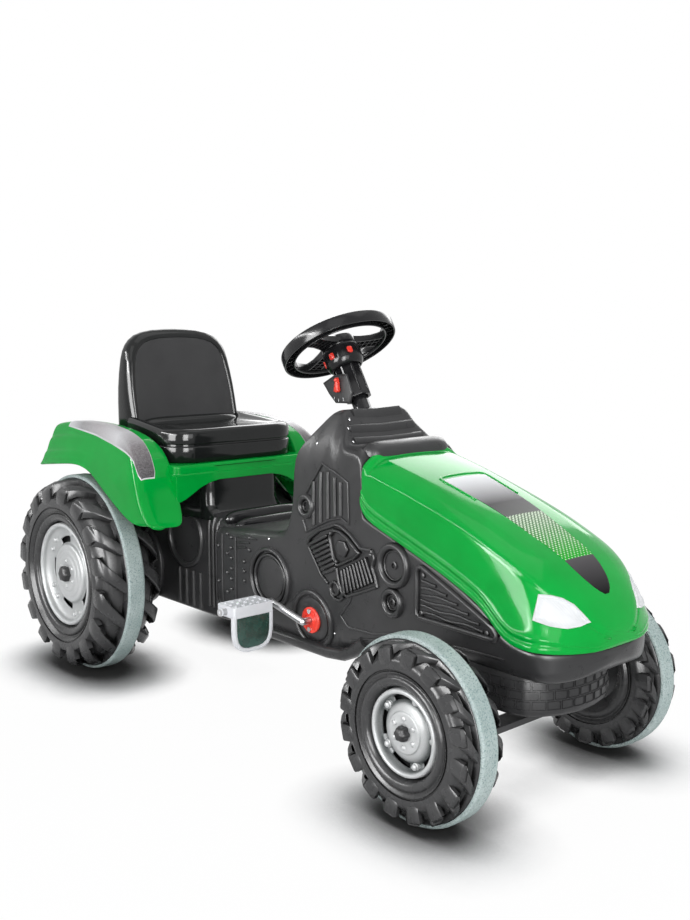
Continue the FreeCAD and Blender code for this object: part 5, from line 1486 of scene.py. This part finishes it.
def grip_band(kind, word, side, body):
    """Rubber band round the tread with fine slanted ribs."""
    sizes = WHEELS[kind]
    place = wheel_frame(kind, side)
    outer, half = sizes["band"], sizes["half_band"]
    ribs = BAND_RIBS[kind]
    steps = ribs * 3
    foot = outer - BAND_THICKNESS + 0.2
    profile = [(foot, -half), (outer - 2.2, -half), (outer - 0.4, -half + 2.0)]
    profile += [(outer, mixed(-half, half, share)) for share in (0.14, 0.3, 0.5, 0.7, 0.86)]
    profile += [(outer - 0.4, half - 2.0), (outer - 2.2, half), (foot, half)]
    rows = []
    for radius, rise in profile:
        row = []
        for step in range(steps):
            angle = 2 * math.pi * step / steps
            worked = radius
            if radius == outer:
                chevron = abs(rise) / half * 1.5
                wave = math.cos(ribs * angle + chevron * 2)
                worked = radius - BAND_RIB_DEPTH + BAND_RIB_DEPTH * wave
            row.append(round_spot(place, worked, angle, rise))
        rows.append(row)
    shell = Shell().grid(rows, True, looped=True)
    piece("%s_grip_band_%s" % (kind, word), shell, GRIP, body,
          ("%s_band_%s" % (kind, word),), sharp=60)


# Profile from the rim's edge inward, the slots' inner and outer radius and angle, and the place,
# size and level of the bolts and of the studs.
RIMS = {
    "rear": {
        "profile": [
            (83, 33), (82.6, 40), (81.6, 42.6), (79.5, 43.4), (77.2, 42.8), (75.6, 40.5), (75, 36),
            (73.5, 34), (70, 31.6), (66, 29.6), (62, 28.4), (56, 27.6), (52, 27.6), (49, 28.6),
            (47, 31.5), (45.5, 33.4), (43, 34), (38, 34), (36.6, 35.2), (34, 35.6), (29, 35.6),
            (27.6, 36.8), (25, 37.2), (16, 37.2), (14.5, 36.4), (13, 36.4), (6, 36.4),
        ],
        "slot": (50.5, 60.5), "slot_degrees": 34,
        "bolts": (66.5, 3.4, 29.4), "studs": (20.5, 2.9, 37.2),
    },
    "front": {
        "profile": [
            (50, 16), (49.6, 22), (48.8, 24.4), (47, 25.2), (44.8, 24.6), (43.6, 22), (43, 15),
            (42, 13), (40, 12.2), (37.5, 12.2), (36.4, 12.6), (35.4, 13.8), (34, 15.6), (31, 17.8),
            (27.5, 19.4), (25, 20), (24.2, 20.2), (23.6, 21.4), (22.6, 21.8), (10, 21.8), (9, 21),
            (4, 21),
        ],
        "slot": (36, 42.2), "slot_degrees": 40,
        "bolts": (38.8, 3.5, 14.4), "studs": (16.6, 3.1, 21.8),
    },
}
RIM_STEPS = 180
SLOT_COUNT = 5
STUD_COUNT = 6
BOLT_LEANS = {"rear": (-9, 9), "front": (0,)}
WELL_DEPTH = 9


def wheel_rim(kind, word, side, body):
    """Dished silver rim with through slots, bolt bosses between them and a ring of studs."""
    place = wheel_frame(kind, side)
    data = RIMS[kind]
    profile = divided(data["profile"], 2.6)
    shell = Shell().turned(place, profile, RIM_STEPS)
    near, far = data["slot"]
    span = data["slot_degrees"] / 2
    kept = []
    for face in shell.faces:
        ring = face[0] // RIM_STEPS
        turn = (face[0] % RIM_STEPS + 0.5) * 360 / RIM_STEPS % (360 / SLOT_COUNT)
        open_ring = profile[ring + 1][0] >= near and profile[ring][0] <= far
        if not (open_ring and abs(turn - 180 / SLOT_COUNT) < span):
            kept.append(face)
    shell.faces = kept
    piece("%s_rim_dish_%s" % (kind, word), shell, SILVER, body,
          ("%s_rim_%s" % (kind, word),), thick=1.6, sharp=50)

    bosses = Shell()

    def boss(radius, degrees, level, form, steps):
        angle = math.radians(degrees)
        middle = Vector((radius * math.cos(angle), radius * math.sin(angle), level)) * MM
        bosses.turned(place @ Matrix.Translation(middle), form, steps, start=True, end=True)

    ring, bolt, level = data["bolts"]
    form = [(bolt * 1.35, -3), (bolt * 1.3, 1.0), (bolt, 1.6), (bolt, 3.4), (bolt * 0.7, 4.4)]
    form += [(0.6, 4.7)]
    for index in range(SLOT_COUNT):
        for lean in BOLT_LEANS[kind]:
            boss(ring, 360 / SLOT_COUNT * index + lean, level, form, 20)
    ring, stud, level = data["studs"]
    form = [(stud, -1), (stud, 1.0), (stud * 0.75, 1.8), (0.5, 2.1)]
    for index in range(STUD_COUNT):
        boss(ring, 360 / STUD_COUNT * (index + 0.5), level, form, 18)
    piece("%s_rim_bosses_%s" % (kind, word), bosses, SILVER, body, sharp=50)

    depth = along(sorted(data["profile"]), near) - WELL_DEPTH
    form = [(far + 5, depth), (near - 6, depth), (near - 6, depth - 1.5), (far + 5, depth - 1.5)]
    well = Shell().turned(place, form, 64, looped=True)
    piece("%s_rim_well_%s" % (kind, word), well, BLACK_PLASTIC, body, sharp=50)


# Shares of the knob's radius and of its height.
KNOB = ((1.0, 0.0), (1.0, 0.45), (0.96, 0.62), (0.84, 0.8), (0.6, 0.93), (0.3, 1.0))


def hub_knob(kind, word, side, body):
    """Black push-on knob with six soft lobes."""
    place = wheel_frame(kind, side)
    low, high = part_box("%s_cap_%s" % (kind, word))
    start = min(abs(low.y), abs(high.y)) / MM - abs(place.translation.y) / MM
    radius = (high.z - low.z) / 2 / MM
    tall = (high.y - low.y) / MM

    def lobes(angle, reach):
        return 1 - 0.07 * (1 - math.cos(6 * angle)) * (reach > radius * 0.5)

    profile = [(radius * wide, start + tall * rise) for wide, rise in KNOB] + [(0.4, start + tall)]
    shell = Shell().turned(place, profile, 72, start=True, end=True, wave=lobes)
    piece("%s_hub_knob_%s" % (kind, word), shell, BLACK_PLASTIC, body,
          ("%s_cap_%s" % (kind, word),), sharp=60)


def wheels():
    for word, side in SIDES:
        rear_body = "rear_axle" if word == "right" else "rear_wheel_left"
        for kind, body, cap_body in (
            ("rear", rear_body, "rear_axle"), ("front", "front_wheel_" + word, "knuckle_" + word),
        ):
            tyre(kind, word, side, body)
            grip_band(kind, word, side, body)
            wheel_rim(kind, word, side, body)
            hub_knob(kind, word, side, cap_body)


# Crank and pedals.

DISC_RIBS = 4


def crank_discs():
    """Red bearing disc with a stepped face on each side of the body."""
    for word, side in SIDES:
        low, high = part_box("crank_bush_" + word)
        place = side_frame(CRANK, side)
        outer = max(abs(low.y), abs(high.y)) / MM
        inner = outer - 4
        profile = [
            (17.6, inner), (18, inner + 1), (18, outer - 1.2), (17.2, outer - 0.2), (16, outer),
            (9.5, outer), (9, outer + 0.9), (7.4, outer + 0.9), (7, outer), (5.2, outer - 0.3),
        ]
        shell = Shell().turned(place, profile, 64, start=True, end=True)
        for index in range(DISC_RIBS):
            turn = place @ Matrix.Rotation(math.radians(45 + 360 / DISC_RIBS * index), 4, "Z")
            shell.block(turn, (10.2, -0.7, outer - 1), (15.2, 0.7, outer + 0.5))
        piece("crank_disc_" + word, shell, RED, "chassis",
              ("crank_bush_" + word,), sharp=50)


PEDAL_LOOP_BAR = 5.5
PEDAL_LOOP_REAR = 12.5
# Shares of the half width and of the drop down one half of the loop.
PEDAL_LOOP = (
    (1.0, 0.1), (1.0, 0.4), (0.985, 0.58), (0.92, 0.75), (0.78, 0.88), (0.55, 0.965), (0.28, 1.0),
)
PEDAL_STUD = [(2.9, 0), (2.7, 1.6), (2.0, 2.0), (1.2, 2.0), (1.0, 1.0)]
PEDAL_STUD_EDGE = 8
PEDAL_CAP = [(5.0, 0), (5.4, 0.6), (5.4, 2.0), (4.8, 2.9), (3.2, 3.4), (0.5, 3.6)]


def pedal(word, side):
    body = "pedal_" + word
    low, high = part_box("pedal_" + word)
    centre = Vector(joints["pedal_%s_spin" % word]["pos_m"])
    place = Matrix.Translation(Vector((centre.x, (low.y + high.y) / 2, centre.z)))
    half_long = (high.x - low.x) / 2 / MM
    half_wide = (high.y - low.y) / 2 / MM
    top = (high.z - centre.z) / MM
    drop = (centre.z - low.z) / MM

    def at(x, y, z):
        return place @ (Vector((x, y, z)) * MM)

    levels = (
        (-top, 1.0), (-top + 1, 0), (top - 2, 0), (top - 0.6, 0.5), (top - 0.2, 1.6),
        (top - 1.0, 3.0),
    )
    rows = []
    for z, depth in levels:
        long, wide = half_long - depth, half_wide - depth
        outline = rounded_box((-long, -wide), (long, wide), 3.5 - depth * 0.6)
        rows.append([at(x, y, z) for x, y in outline])
    tread = Shell().grid(rows, True, start=True, end=True)
    long, wide = half_long - PEDAL_STUD_EDGE, half_wide - PEDAL_STUD_EDGE
    for row in range(3):
        for column in range(5):
            x, y = mixed(-long, long, row / 2), mixed(-wide, wide, column / 4)
            stud = place @ Matrix.Translation(Vector((x, y, top - 1.6)) * MM)
            tread.turned(stud, PEDAL_STUD, 14, start=True, end=True)
    piece("pedal_tread_" + word, tread, WHITE, body,
          ("pedal_" + word,), rounding=0.6)

    side_half = [(half_wide * out, -0.92 * drop * down) for out, down in PEDAL_LOOP]
    path = divided(side_half + [(-y, z) for y, z in reversed(side_half)], 4)

    def moved(depth):
        pairs = zip(path, normals(path, False))
        return [(y - ny * depth, z - nz * depth) for (y, z), (ny, nz) in pairs]

    rear, front, bar = PEDAL_LOOP_REAR, half_long - 0.8, PEDAL_LOOP_BAR
    sections = (
        (0.0, rear), (0.0, front - 0.8), (0.8, front), (bar - 0.8, front), (bar, front - 0.8),
        (bar, rear),
    )
    courses = [[at(x, y, z) for y, z in moved(depth)] for depth, x in sections]
    shell = Shell().grid(list(zip(*courses)), True, start=True, end=True)
    piece("pedal_loop_" + word, shell, WHITE, body, sharp=50)

    panel_low, panel_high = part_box("pedal_panel_" + word)
    near, far = (panel_low.x - centre.x) / MM, (panel_high.x - centre.x) / MM
    edge = moved(bar + 0.2)
    level = sum(z for _, z in edge) / len(edge)
    loops = [[at(near, y, z) for y, z in edge]]
    for shrink, rise in ((1.0, 0.0), (0.92, 0.8), (0.6, 1.4), (0.2, 1.6)):
        loops.append([at(far + rise, y * shrink, mixed(level, z, shrink)) for y, z in edge])
    panel = Shell().grid(loops, True, start=True, end=True)
    piece("pedal_insert_" + word, panel, PANEL, body,
          ("pedal_panel_" + word,), sharp=50)

    cap_low, cap_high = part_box("pedal_cap_" + word)
    inner_face = min(abs(cap_low.y), abs(cap_high.y)) / MM
    profile = [(radius, inner_face + rise) for radius, rise in PEDAL_CAP]
    outward = side_frame(Vector((centre.x, 0, centre.z)), side)
    shell = Shell().turned(outward, profile, 40, start=True, end=True)
    piece("pedal_end_cap_" + word, shell, WHITE, "crank",
          ("pedal_cap_" + word,), sharp=50)


# Steering.


def column_frame():
    axis = Vector(joints["steering_turn"]["axis"])
    across = Vector((0, 1, 0))
    first = across.cross(axis)
    return Matrix.Translation(COLUMN) @ Matrix((first, across, axis)).transposed().to_4x4()


# Radius and height of the wheel's rim, a channel that opens downward.
STEERING_RIM = [
    (82.0, -8.6), (82.6, -4), (82.6, 4.5), (81.6, 7.6), (79, 9.0), (74, 9.2), (69, 8.6),
    (66.4, 6.6), (65.8, 3), (66, -7.5), (66.6, -8.6), (68.4, -8.6), (68.8, -7), (68.8, 4.4),
    (71, 6.4), (77, 6.4), (79.4, 4.4), (79.6, -7), (80, -8.6),
]
STEERING_HUB = [
    (24, -7.4), (24.6, -5), (24.6, 4), (23.4, 6.6), (20, 8.0), (12, 8.6), (11, 9.6), (8, 10.2),
    (0.5, 10.4),
]
STEERING_RIBS = 36
SPOKE_DEGREES = (75, -75, 180)
# Distance out, half width, lower and upper face of a spoke's sections.
SPOKE_SECTIONS = (
    (20, 15, -6, 5.4), (32, 12.5, -5.6, 5.0), (48, 11, -5.4, 4.8), (60, 12, -5.6, 5.2),
    (69, 15, -6, 6),
)
SPOKE_WALL = 2.4
SPOKE_RIBS = (30, 38, 46, 54, 62)
COLLAR = [
    (7, -8), (25.6, -8), (26.4, -9), (26.4, -28), (25.8, -31), (24.2, -34.6), (22.4, -37),
    (20.6, -37.6), (20.2, -36.6), (20.2, -29.4), (7, -29.4),
]
COLLAR_RIBS = 9
COLLAR_TURN = 0.28
TAB_DEGREES = (-17, -77, -137)
TAB_BOX = ((-3.8, -25.6), (3.8, -16.2))
TAB_RADIUS = 25.6
SLEEVE_SIDES = 8
SLEEVE_HALF = 17
# Height along the column and inset of the sleeve's sections.
SLEEVE_LEVELS = (
    (-30, 3), (-30.4, 0.8), (-32, 0), (-80, 0), (-82.6, -0.9), (-84.4, -0.6), (-84.4, 3.6),
    (-50, 4.2),
)
COLUMN_TUBE = [
    (12, -40), (12, -104), (12.6, -105), (14.2, -106), (14.2, -109), (15.4, -110), (17, -116),
    (17, -130),
]


def steering_wheel():
    place = column_frame()
    shell = Shell().turned(place, STEERING_RIM, 96, looped=True)
    for index in range(STEERING_RIBS):
        turn = place @ Matrix.Rotation(2 * math.pi * index / STEERING_RIBS, 4, "Z")
        shell.block(turn, (68.4, -0.6, -1.0), (79.8, 0.6, 5.4))
    shell.turned(place, STEERING_HUB, 64, start=True, end=True)
    for degrees in SPOKE_DEGREES:
        turn = place @ Matrix.Rotation(math.radians(degrees), 4, "Z")
        rows = []
        for reach, wide, low, high in SPOKE_SECTIONS:
            inner = wide - SPOKE_WALL
            corners = [
                (-wide, low), (-wide, high - 2), (2 - wide, high), (wide - 2, high),
                (wide, high - 2), (wide, low), (inner, low), (inner, high - 2.6),
                (-inner, high - 2.6), (-inner, low),
            ]
            rows.append([turn @ (Vector((reach, y, z)) * MM) for y, z in corners])
        shell.grid(rows, True, start=True, end=True)
        for reach in SPOKE_RIBS:
            shell.block(turn, (reach - 0.7, -11, -5.2), (reach + 0.7, 11, 3.4))
        shell.block(turn, (22, -0.7, -5.2), (67, 0.7, 3.4))
    piece("steering_wheel_mould", shell, BLACK_GLOSS, "steering",
          ("steering_wheel",), rounding=0.7)


def hub_collar():
    place = column_frame()
    shell = Shell().turned(place, COLLAR, 72, looped=True)
    for index in range(COLLAR_RIBS):
        turn = place @ Matrix.Rotation(2 * math.pi * index / COLLAR_RIBS + COLLAR_TURN, 4, "Z")
        shell.block(turn, (25.8, -2.2, -27), (27.0, 2.2, -10))
    piece("hub_collar_mould", shell, BLACK_GLOSS, "steering",
          ("hub_collar",), rounding=0.5)

    tabs = Shell()
    for degrees in TAB_DEGREES:
        turn = place @ Matrix.Rotation(math.radians(degrees), 4, "Z")

        def lay(u, v, height):
            return turn @ (Vector((TAB_RADIUS + height, u, v)) * MM)

        tabs.pad(lay, rounded_box(*TAB_BOX, 2.6), 2.6, 1.0, -2.0)
    piece("snap_tab_caps", tabs, RED, "steering", ("snap_tabs",), sharp=60)


def column_cover():
    """Eight-sided sleeve with a rib at each corner, and the tube that it hangs over."""
    place = column_frame()
    turns = [math.radians(360 / SLEEVE_SIDES * (index + 0.5)) for index in range(SLEEVE_SIDES)]
    reach = SLEEVE_HALF / math.cos(math.radians(180 / SLEEVE_SIDES))
    corners = [(reach * math.cos(turn), reach * math.sin(turn)) for turn in turns]
    outline = divided_loop(corners, 3.6)
    rows = []
    for rise, depth in SLEEVE_LEVELS:
        rows.append([place @ (Vector((x, y, rise)) * MM) for x, y in inset(outline, depth)])
    shell = Shell().grid(rows, True)
    for turn in turns:
        shell.block(place @ Matrix.Rotation(turn, 4, "Z"), (17.6, -1.5, -79), (19.0, 1.5, -34))
    piece("column_sleeve_mould", shell, BLACK_GLOSS, "chassis",
          ("column_sleeve",), rounding=0.6)

    shell = Shell().turned(place, COLUMN_TUBE, 48, start=True, end=True)
    piece("column_tube_mould", shell, BLACK_GLOSS, "chassis",
          ("column_tube",), sharp=50)


# Places on the plate are across the column and along it.
GEAR_PLATE_EDGE = [
    (-35.4, -40.3), (-8.5, -42.1), (13.2, -52.4), (11.4, -79.2), (0.0, -91.2), (-25.7, -77.1),
    (-31.8, -59.5),
]
GEAR_PLATE_THICKNESS = 3.0
LEVER_ON_PLATE = (-3.5, -52.8)
COLUMN_LEAN = math.atan2(0.5075, 0.8616)
MARK_DEGREES = (-20, 0, 20)
MARK_ENDS = (26, 30)
LEVER_OUT = 1.2
LEVER_BOSS = [(2.8, 0), (2.6, 4.6), (1.9, 5.4), (0.6, 5.6)]


def gear_selector():
    """Dark plate on the driver's right of the column, with a scale, and its red lever."""
    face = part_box("gear_plate")[0].y / MM
    place = column_frame()

    def lay(u, v, height):
        return place @ (Vector((u, face + GEAR_PLATE_THICKNESS - height, v)) * MM)

    plate = Shell().pad(lay, divided_loop(GEAR_PLATE_EDGE, 5), GEAR_PLATE_THICKNESS, 0.8, 0.0)
    border = divided_loop(inset(GEAR_PLATE_EDGE, 2.0), 5)
    plate.ridge(lay, border, 1.8, 3.8, closed=True, foot=2.0)
    piece("gear_plate_mould", plate, BLACK_PLASTIC, "chassis",
          ("gear_plate",), sharp=50)

    marks = Shell()
    middle_u, middle_v = LEVER_ON_PLATE
    for degrees in MARK_DEGREES:
        angle = math.radians(degrees - 90) - COLUMN_LEAN
        u, v = math.cos(angle), math.sin(angle)
        ends = [(middle_u + end * u, middle_v + end * v) for end in MARK_ENDS]
        marks.pad(lay, stadium(*ends, 0.9, 4), 3.4, 0.15, 2.5)
    piece("gear_plate_marks", marks, WHITE, "chassis", sharp=60)

    def lay_lever(u, v, height):
        return LEVER + Vector((u, -(LEVER_OUT + height), v)) * MM

    outline = [(u * mixed(0.55, 1.5, -v / 17), v * 0.98) for u, v in stadium((0, 0), (0, -14), 7)]
    lever = Shell().pad(lay_lever, outline, 4.4, 1.6, -1.0)
    lever.disc(lay_lever, 0, 0, LEVER_BOSS, 24)
    piece("gear_lever_mould", lever, RED, "gear_lever", ("gear_lever",), sharp=60)


# Front axle.

# Half of the block's outline: ahead of the front axle, and across.
BLOCK_EDGE = ((-18, 84), (20, 84), (56, 83), (76, 76), (91, 60), (101, 40), (106, 18), (107, 0))
BLOCK_UNDER = 117
EAR_HALF = 18
EAR_ROOT = 74
EAR_LEVELS = ((80, 92), (124, 136))
BRICK_ROWS = 3
BRICKS_IN_ROW = 17
BRICK_TALL = 9.4
BRICK_STEP = 11.5
BRICK_GAP = 2.4
BRICK_MARGIN = 30


def axle_block():
    """Rounded front block with rows of raised bricks, over the beam and its ears."""
    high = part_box("front_axle_block")[1]
    front_x = (FRONT_AXLE.x - REAR_AXLE.x) / MM
    top = high.z / MM
    under = BLOCK_UNDER
    smooth = divided([(front_x + x, y) for x, y in BLOCK_EDGE], 6)
    outline = smooth + [(x, -y) for x, y in reversed(smooth[:-1])]
    rows = []
    levels = (
        (under, 7), (under + 1.5, 3), (under + 5, 0.6), (under + 9, 0), (top - 2, 0), (top, 1),
    )
    for z, depth in levels:
        rows.append([spot(x, y, z) for x, y in inset(outline, depth)])
    shell = Shell().grid(rows, True, start=True, end=True)
    reach = high.y / MM
    root = [(-EAR_HALF, EAR_ROOT), (EAR_HALF, EAR_ROOT)]
    ear = root + [(EAR_HALF, reach - 8), (10, reach), (-10, reach), (-EAR_HALF, reach - 8)]
    web = root + [(EAR_HALF, EAR_ROOT + 10), (-EAR_HALF, EAR_ROOT + 10)]
    lower, upper = EAR_LEVELS
    for _, side in SIDES:
        for form, levels in ((ear, lower), (ear, upper), (web, (lower[0], upper[1]))):
            rows = [[spot(front_x + x, side * y, z) for x, y in form] for z in levels]
            shell.grid(rows, True, start=True, end=True)
    piece("axle_block_mould", shell, BLACK_PLASTIC, "chassis",
          ("front_axle_block",), rounding=1.2)

    walk = [0.0]
    for start, end in zip(outline, outline[1:]):
        walk.append(walk[-1] + math.dist(start, end))
    course_line = [(run, x, y) for run, (x, y) in zip(walk, outline)]
    facing = [(run, nx, ny) for run, (nx, ny) in zip(walk, normals(outline, True))]

    def lay(u, v, height):
        x = along(course_line, u, 1) - along(facing, u, 1) * height
        return spot(x, along(course_line, u, 2) - along(facing, u, 2) * height, v)

    bricks = Shell()
    first, last = BRICK_MARGIN, walk[-1] - BRICK_MARGIN
    for row in range(BRICK_ROWS):
        low_z = under + 10 + row * BRICK_STEP
        high_z = low_z + BRICK_TALL
        for column in range(BRICKS_IN_ROW):
            start = mixed(first, last, (column + 0.5 * (row % 2)) / BRICKS_IN_ROW)
            end = start + (last - first) / BRICKS_IN_ROW - BRICK_GAP
            brick = [(start, low_z), (end, low_z), (end, high_z), (start, high_z)]
            bricks.pad(lay, divided_loop(brick, 4), 1.0, 0.7)
    piece("axle_block_bricks", bricks, BLACK_PLASTIC, "chassis", sharp=50)


# Plain CAD nodes keep their shape and take a better finish.

STEEL_NODES = (
    "crankshaft", "crank_sprocket", "rear_sprocket", "drive_chain", "rear_axle", "kingpin_right",
    "kingpin_left", "steering_shaft", "crank_screws_right", "crank_screws_left", "seat_bolt_right",
    "seat_bolt_left",
)


def carried_nodes():
    replaced = {name for made in bpy.context.scene.objects for name in made.get("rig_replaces", [])}
    for name, node in frame["nodes"].items():
        if name in replaced:
            continue
        node.data.materials.clear()
        node.data.materials.append(STEEL if name in STEEL_NODES else BLACK_PLASTIC)


# Stage, light and camera.

EYE = Vector((1.1679, -0.9763, 0.5495))
BACK = Vector((0.7419, -0.6589, 0.1240))
LENS = 41.18
LONG_SENSOR = 36.0


def camera():
    made = bpy.data.objects.new("camera", bpy.data.cameras.new("camera"))
    made.data.lens = LENS
    made.data.sensor_fit = "VERTICAL"
    made.data.sensor_height = LONG_SENSOR
    made.data.clip_start = 0.01
    made.location = EYE
    made.rotation_euler = BACK.to_track_quat("Z", "Y").to_euler()
    bpy.context.scene.collection.objects.link(made)
    bpy.context.scene.camera = made


FLOOR_HALF = 14.0
FLOOR_LEVEL = -0.0006
# How far the shadow painted on the floor reaches, in metres, the openness at its dark and clear
# ends, and the openness and the distances from the middle between which the floor turns white.
SHADOW_REACH = 0.105
PAINTED_SHADOW_SHARES = (0.42, 0.95)
WHITE_SHARES = (0.72, 0.985)
WHITE_DISTANCES = (0.8, 1.7)
AMBIENT = 0.42
# The place that the lamps face.
CENTRE = Vector((0.02, 0.0, 0.25))


def white_where_seen(tree, shader_socket, mask=None):
    """White to the camera, to gloss and through glass; the shader elsewhere."""
    start = Field(tree)
    path = start.node("LightPath")
    outputs = path.socket.node.outputs
    seen = Field(tree, outputs["Is Camera Ray"])
    seen = seen.math("MAXIMUM", seen, Field(tree, outputs["Is Glossy Ray"]))
    seen = seen.math("MAXIMUM", seen, Field(tree, outputs["Is Transmission Ray"]))
    factor = seen * mask if mask else seen
    glow = start.node("Emission", None, {"Color": (1.0, 1.0, 1.0, 1.0), "Strength": 1.0})
    return start.node("MixShader", None, {0: factor, 1: Field(tree, shader_socket), 2: glow})


def floor():
    mesh = bpy.data.meshes.new("floor")
    square = ((-1, -1), (1, -1), (1, 1), (-1, 1))
    corners = [(x * FLOOR_HALF, y * FLOOR_HALF, FLOOR_LEVEL) for x, y in square]
    mesh.from_pydata(corners, [], [(0, 1, 2, 3)])
    material, start, place = finish_start("pale_floor")
    grain = noise(start, place, 8.0, 4.0)
    pale = grain.blend((0.92, 0.92, 0.92), (0.94, 0.94, 0.94))
    far = start.node("VectorMath", {"operation": "LENGTH"}, {0: place}, output=1)
    clear = start.node("AmbientOcclusion", {"samples": 16}, {"Distance": SHADOW_REACH}, output=1)
    # Painted shadow: the floor's colour darkens to near black where the part closes it in.
    colour = clear.ramp(*PAINTED_SHADOW_SHARES).blend((0.02, 0.02, 0.02), pale)
    set_finish(material, {"Roughness": 0.9, "Specular IOR Level": 0.1}, colour)
    white = clear.math("MAXIMUM", 0.97 * clear.ramp(*WHITE_SHARES), far.ramp(*WHITE_DISTANCES))
    tree = material.node_tree
    shader = tree.nodes["Principled BSDF"].outputs[0]
    mixed_out = white_where_seen(tree, shader, white)
    tree.links.new(mixed_out.socket, tree.nodes["Material Output"].inputs["Surface"])
    mesh.materials.append(material)
    made = bpy.data.objects.new("floor", mesh)
    bpy.context.scene.collection.objects.link(made)


def world_light():
    world = bpy.data.worlds.new("studio")
    bpy.context.scene.world = world
    world.use_nodes = True
    tree = world.node_tree
    ambient = tree.nodes["Background"]
    ambient.inputs["Color"].default_value = (0.95, 0.97, 1.0, 1.0)
    ambient.inputs["Strength"].default_value = AMBIENT
    joined = white_where_seen(tree, ambient.outputs[0])
    tree.links.new(joined.socket, tree.nodes["World Output"].inputs["Surface"])


# Name, place, size and radiance of each lamp, and whether it lights dull surfaces too.
LIGHTS = (
    ("key_softbox", (1.3, -1.5, 2.6), (1.5, 1.5), 1.1, True),
    ("top_softbox", (0.5, 0.5, 2.7), (1.6, 1.6), 1.0, True),
    ("front_fill", (2.2, -1.1, 1.1), (1.5, 1.5), 4.4, True),
    ("side_fill", (-0.1, -2.4, 1.3), (1.6, 1.2), 2.2, True),
    ("hood_panel", (-1.3, 1.9, 1.65), (2.2, 1.4), 4.0, True),
    ("edge_strip", (-0.9, -1.9, 1.35), (2.4, 0.16), 38.0, False),
    ("near_window", (0.02, -2.4, 0.76), (1.1, 1.5), 22.0, False),
    ("far_window", (1.86, -1.54, 0.76), (0.8, 1.5), 22.0, False),
)


def lights():
    for name, place, size, radiance, dull_too in LIGHTS:
        lamp = bpy.data.lights.new(name, "AREA")
        lamp.shape = "RECTANGLE"
        lamp.size, lamp.size_y = size
        lamp.energy = radiance * math.pi * size[0] * size[1]
        made = bpy.data.objects.new(name, lamp)
        made.location = place
        made.rotation_euler = (Vector(place) - CENTRE).to_track_quat("Z", "Y").to_euler()
        made.visible_diffuse = dull_too
        bpy.context.scene.collection.objects.link(made)


def build():
    skin = body_skin()
    pedestal_relief(pedestal_box())
    axle_housings()
    for word, side in SIDES:
        side_relief(Skin(skin, (0, -side, 0)), word, side)
    dash_details(Skin(skin, (0, 0, -1)))
    hood = hood_skin()
    hood_lamps(hood)
    hood_label_plate(Skin(hood, (0, 0, -1)))
    made = fenders()
    deck_plate()
    fender_strips(made)
    seat_pan()
    seat_back()
    wheels()
    crank_discs()
    for word, side in SIDES:
        pedal(word, side)
    steering_wheel()
    hub_collar()
    column_cover()
    gear_selector()
    axle_block()
    carried_nodes()


build()
floor()
world_light()
lights()
camera()
bpy.context.scene.view_settings.view_transform = "Standard"
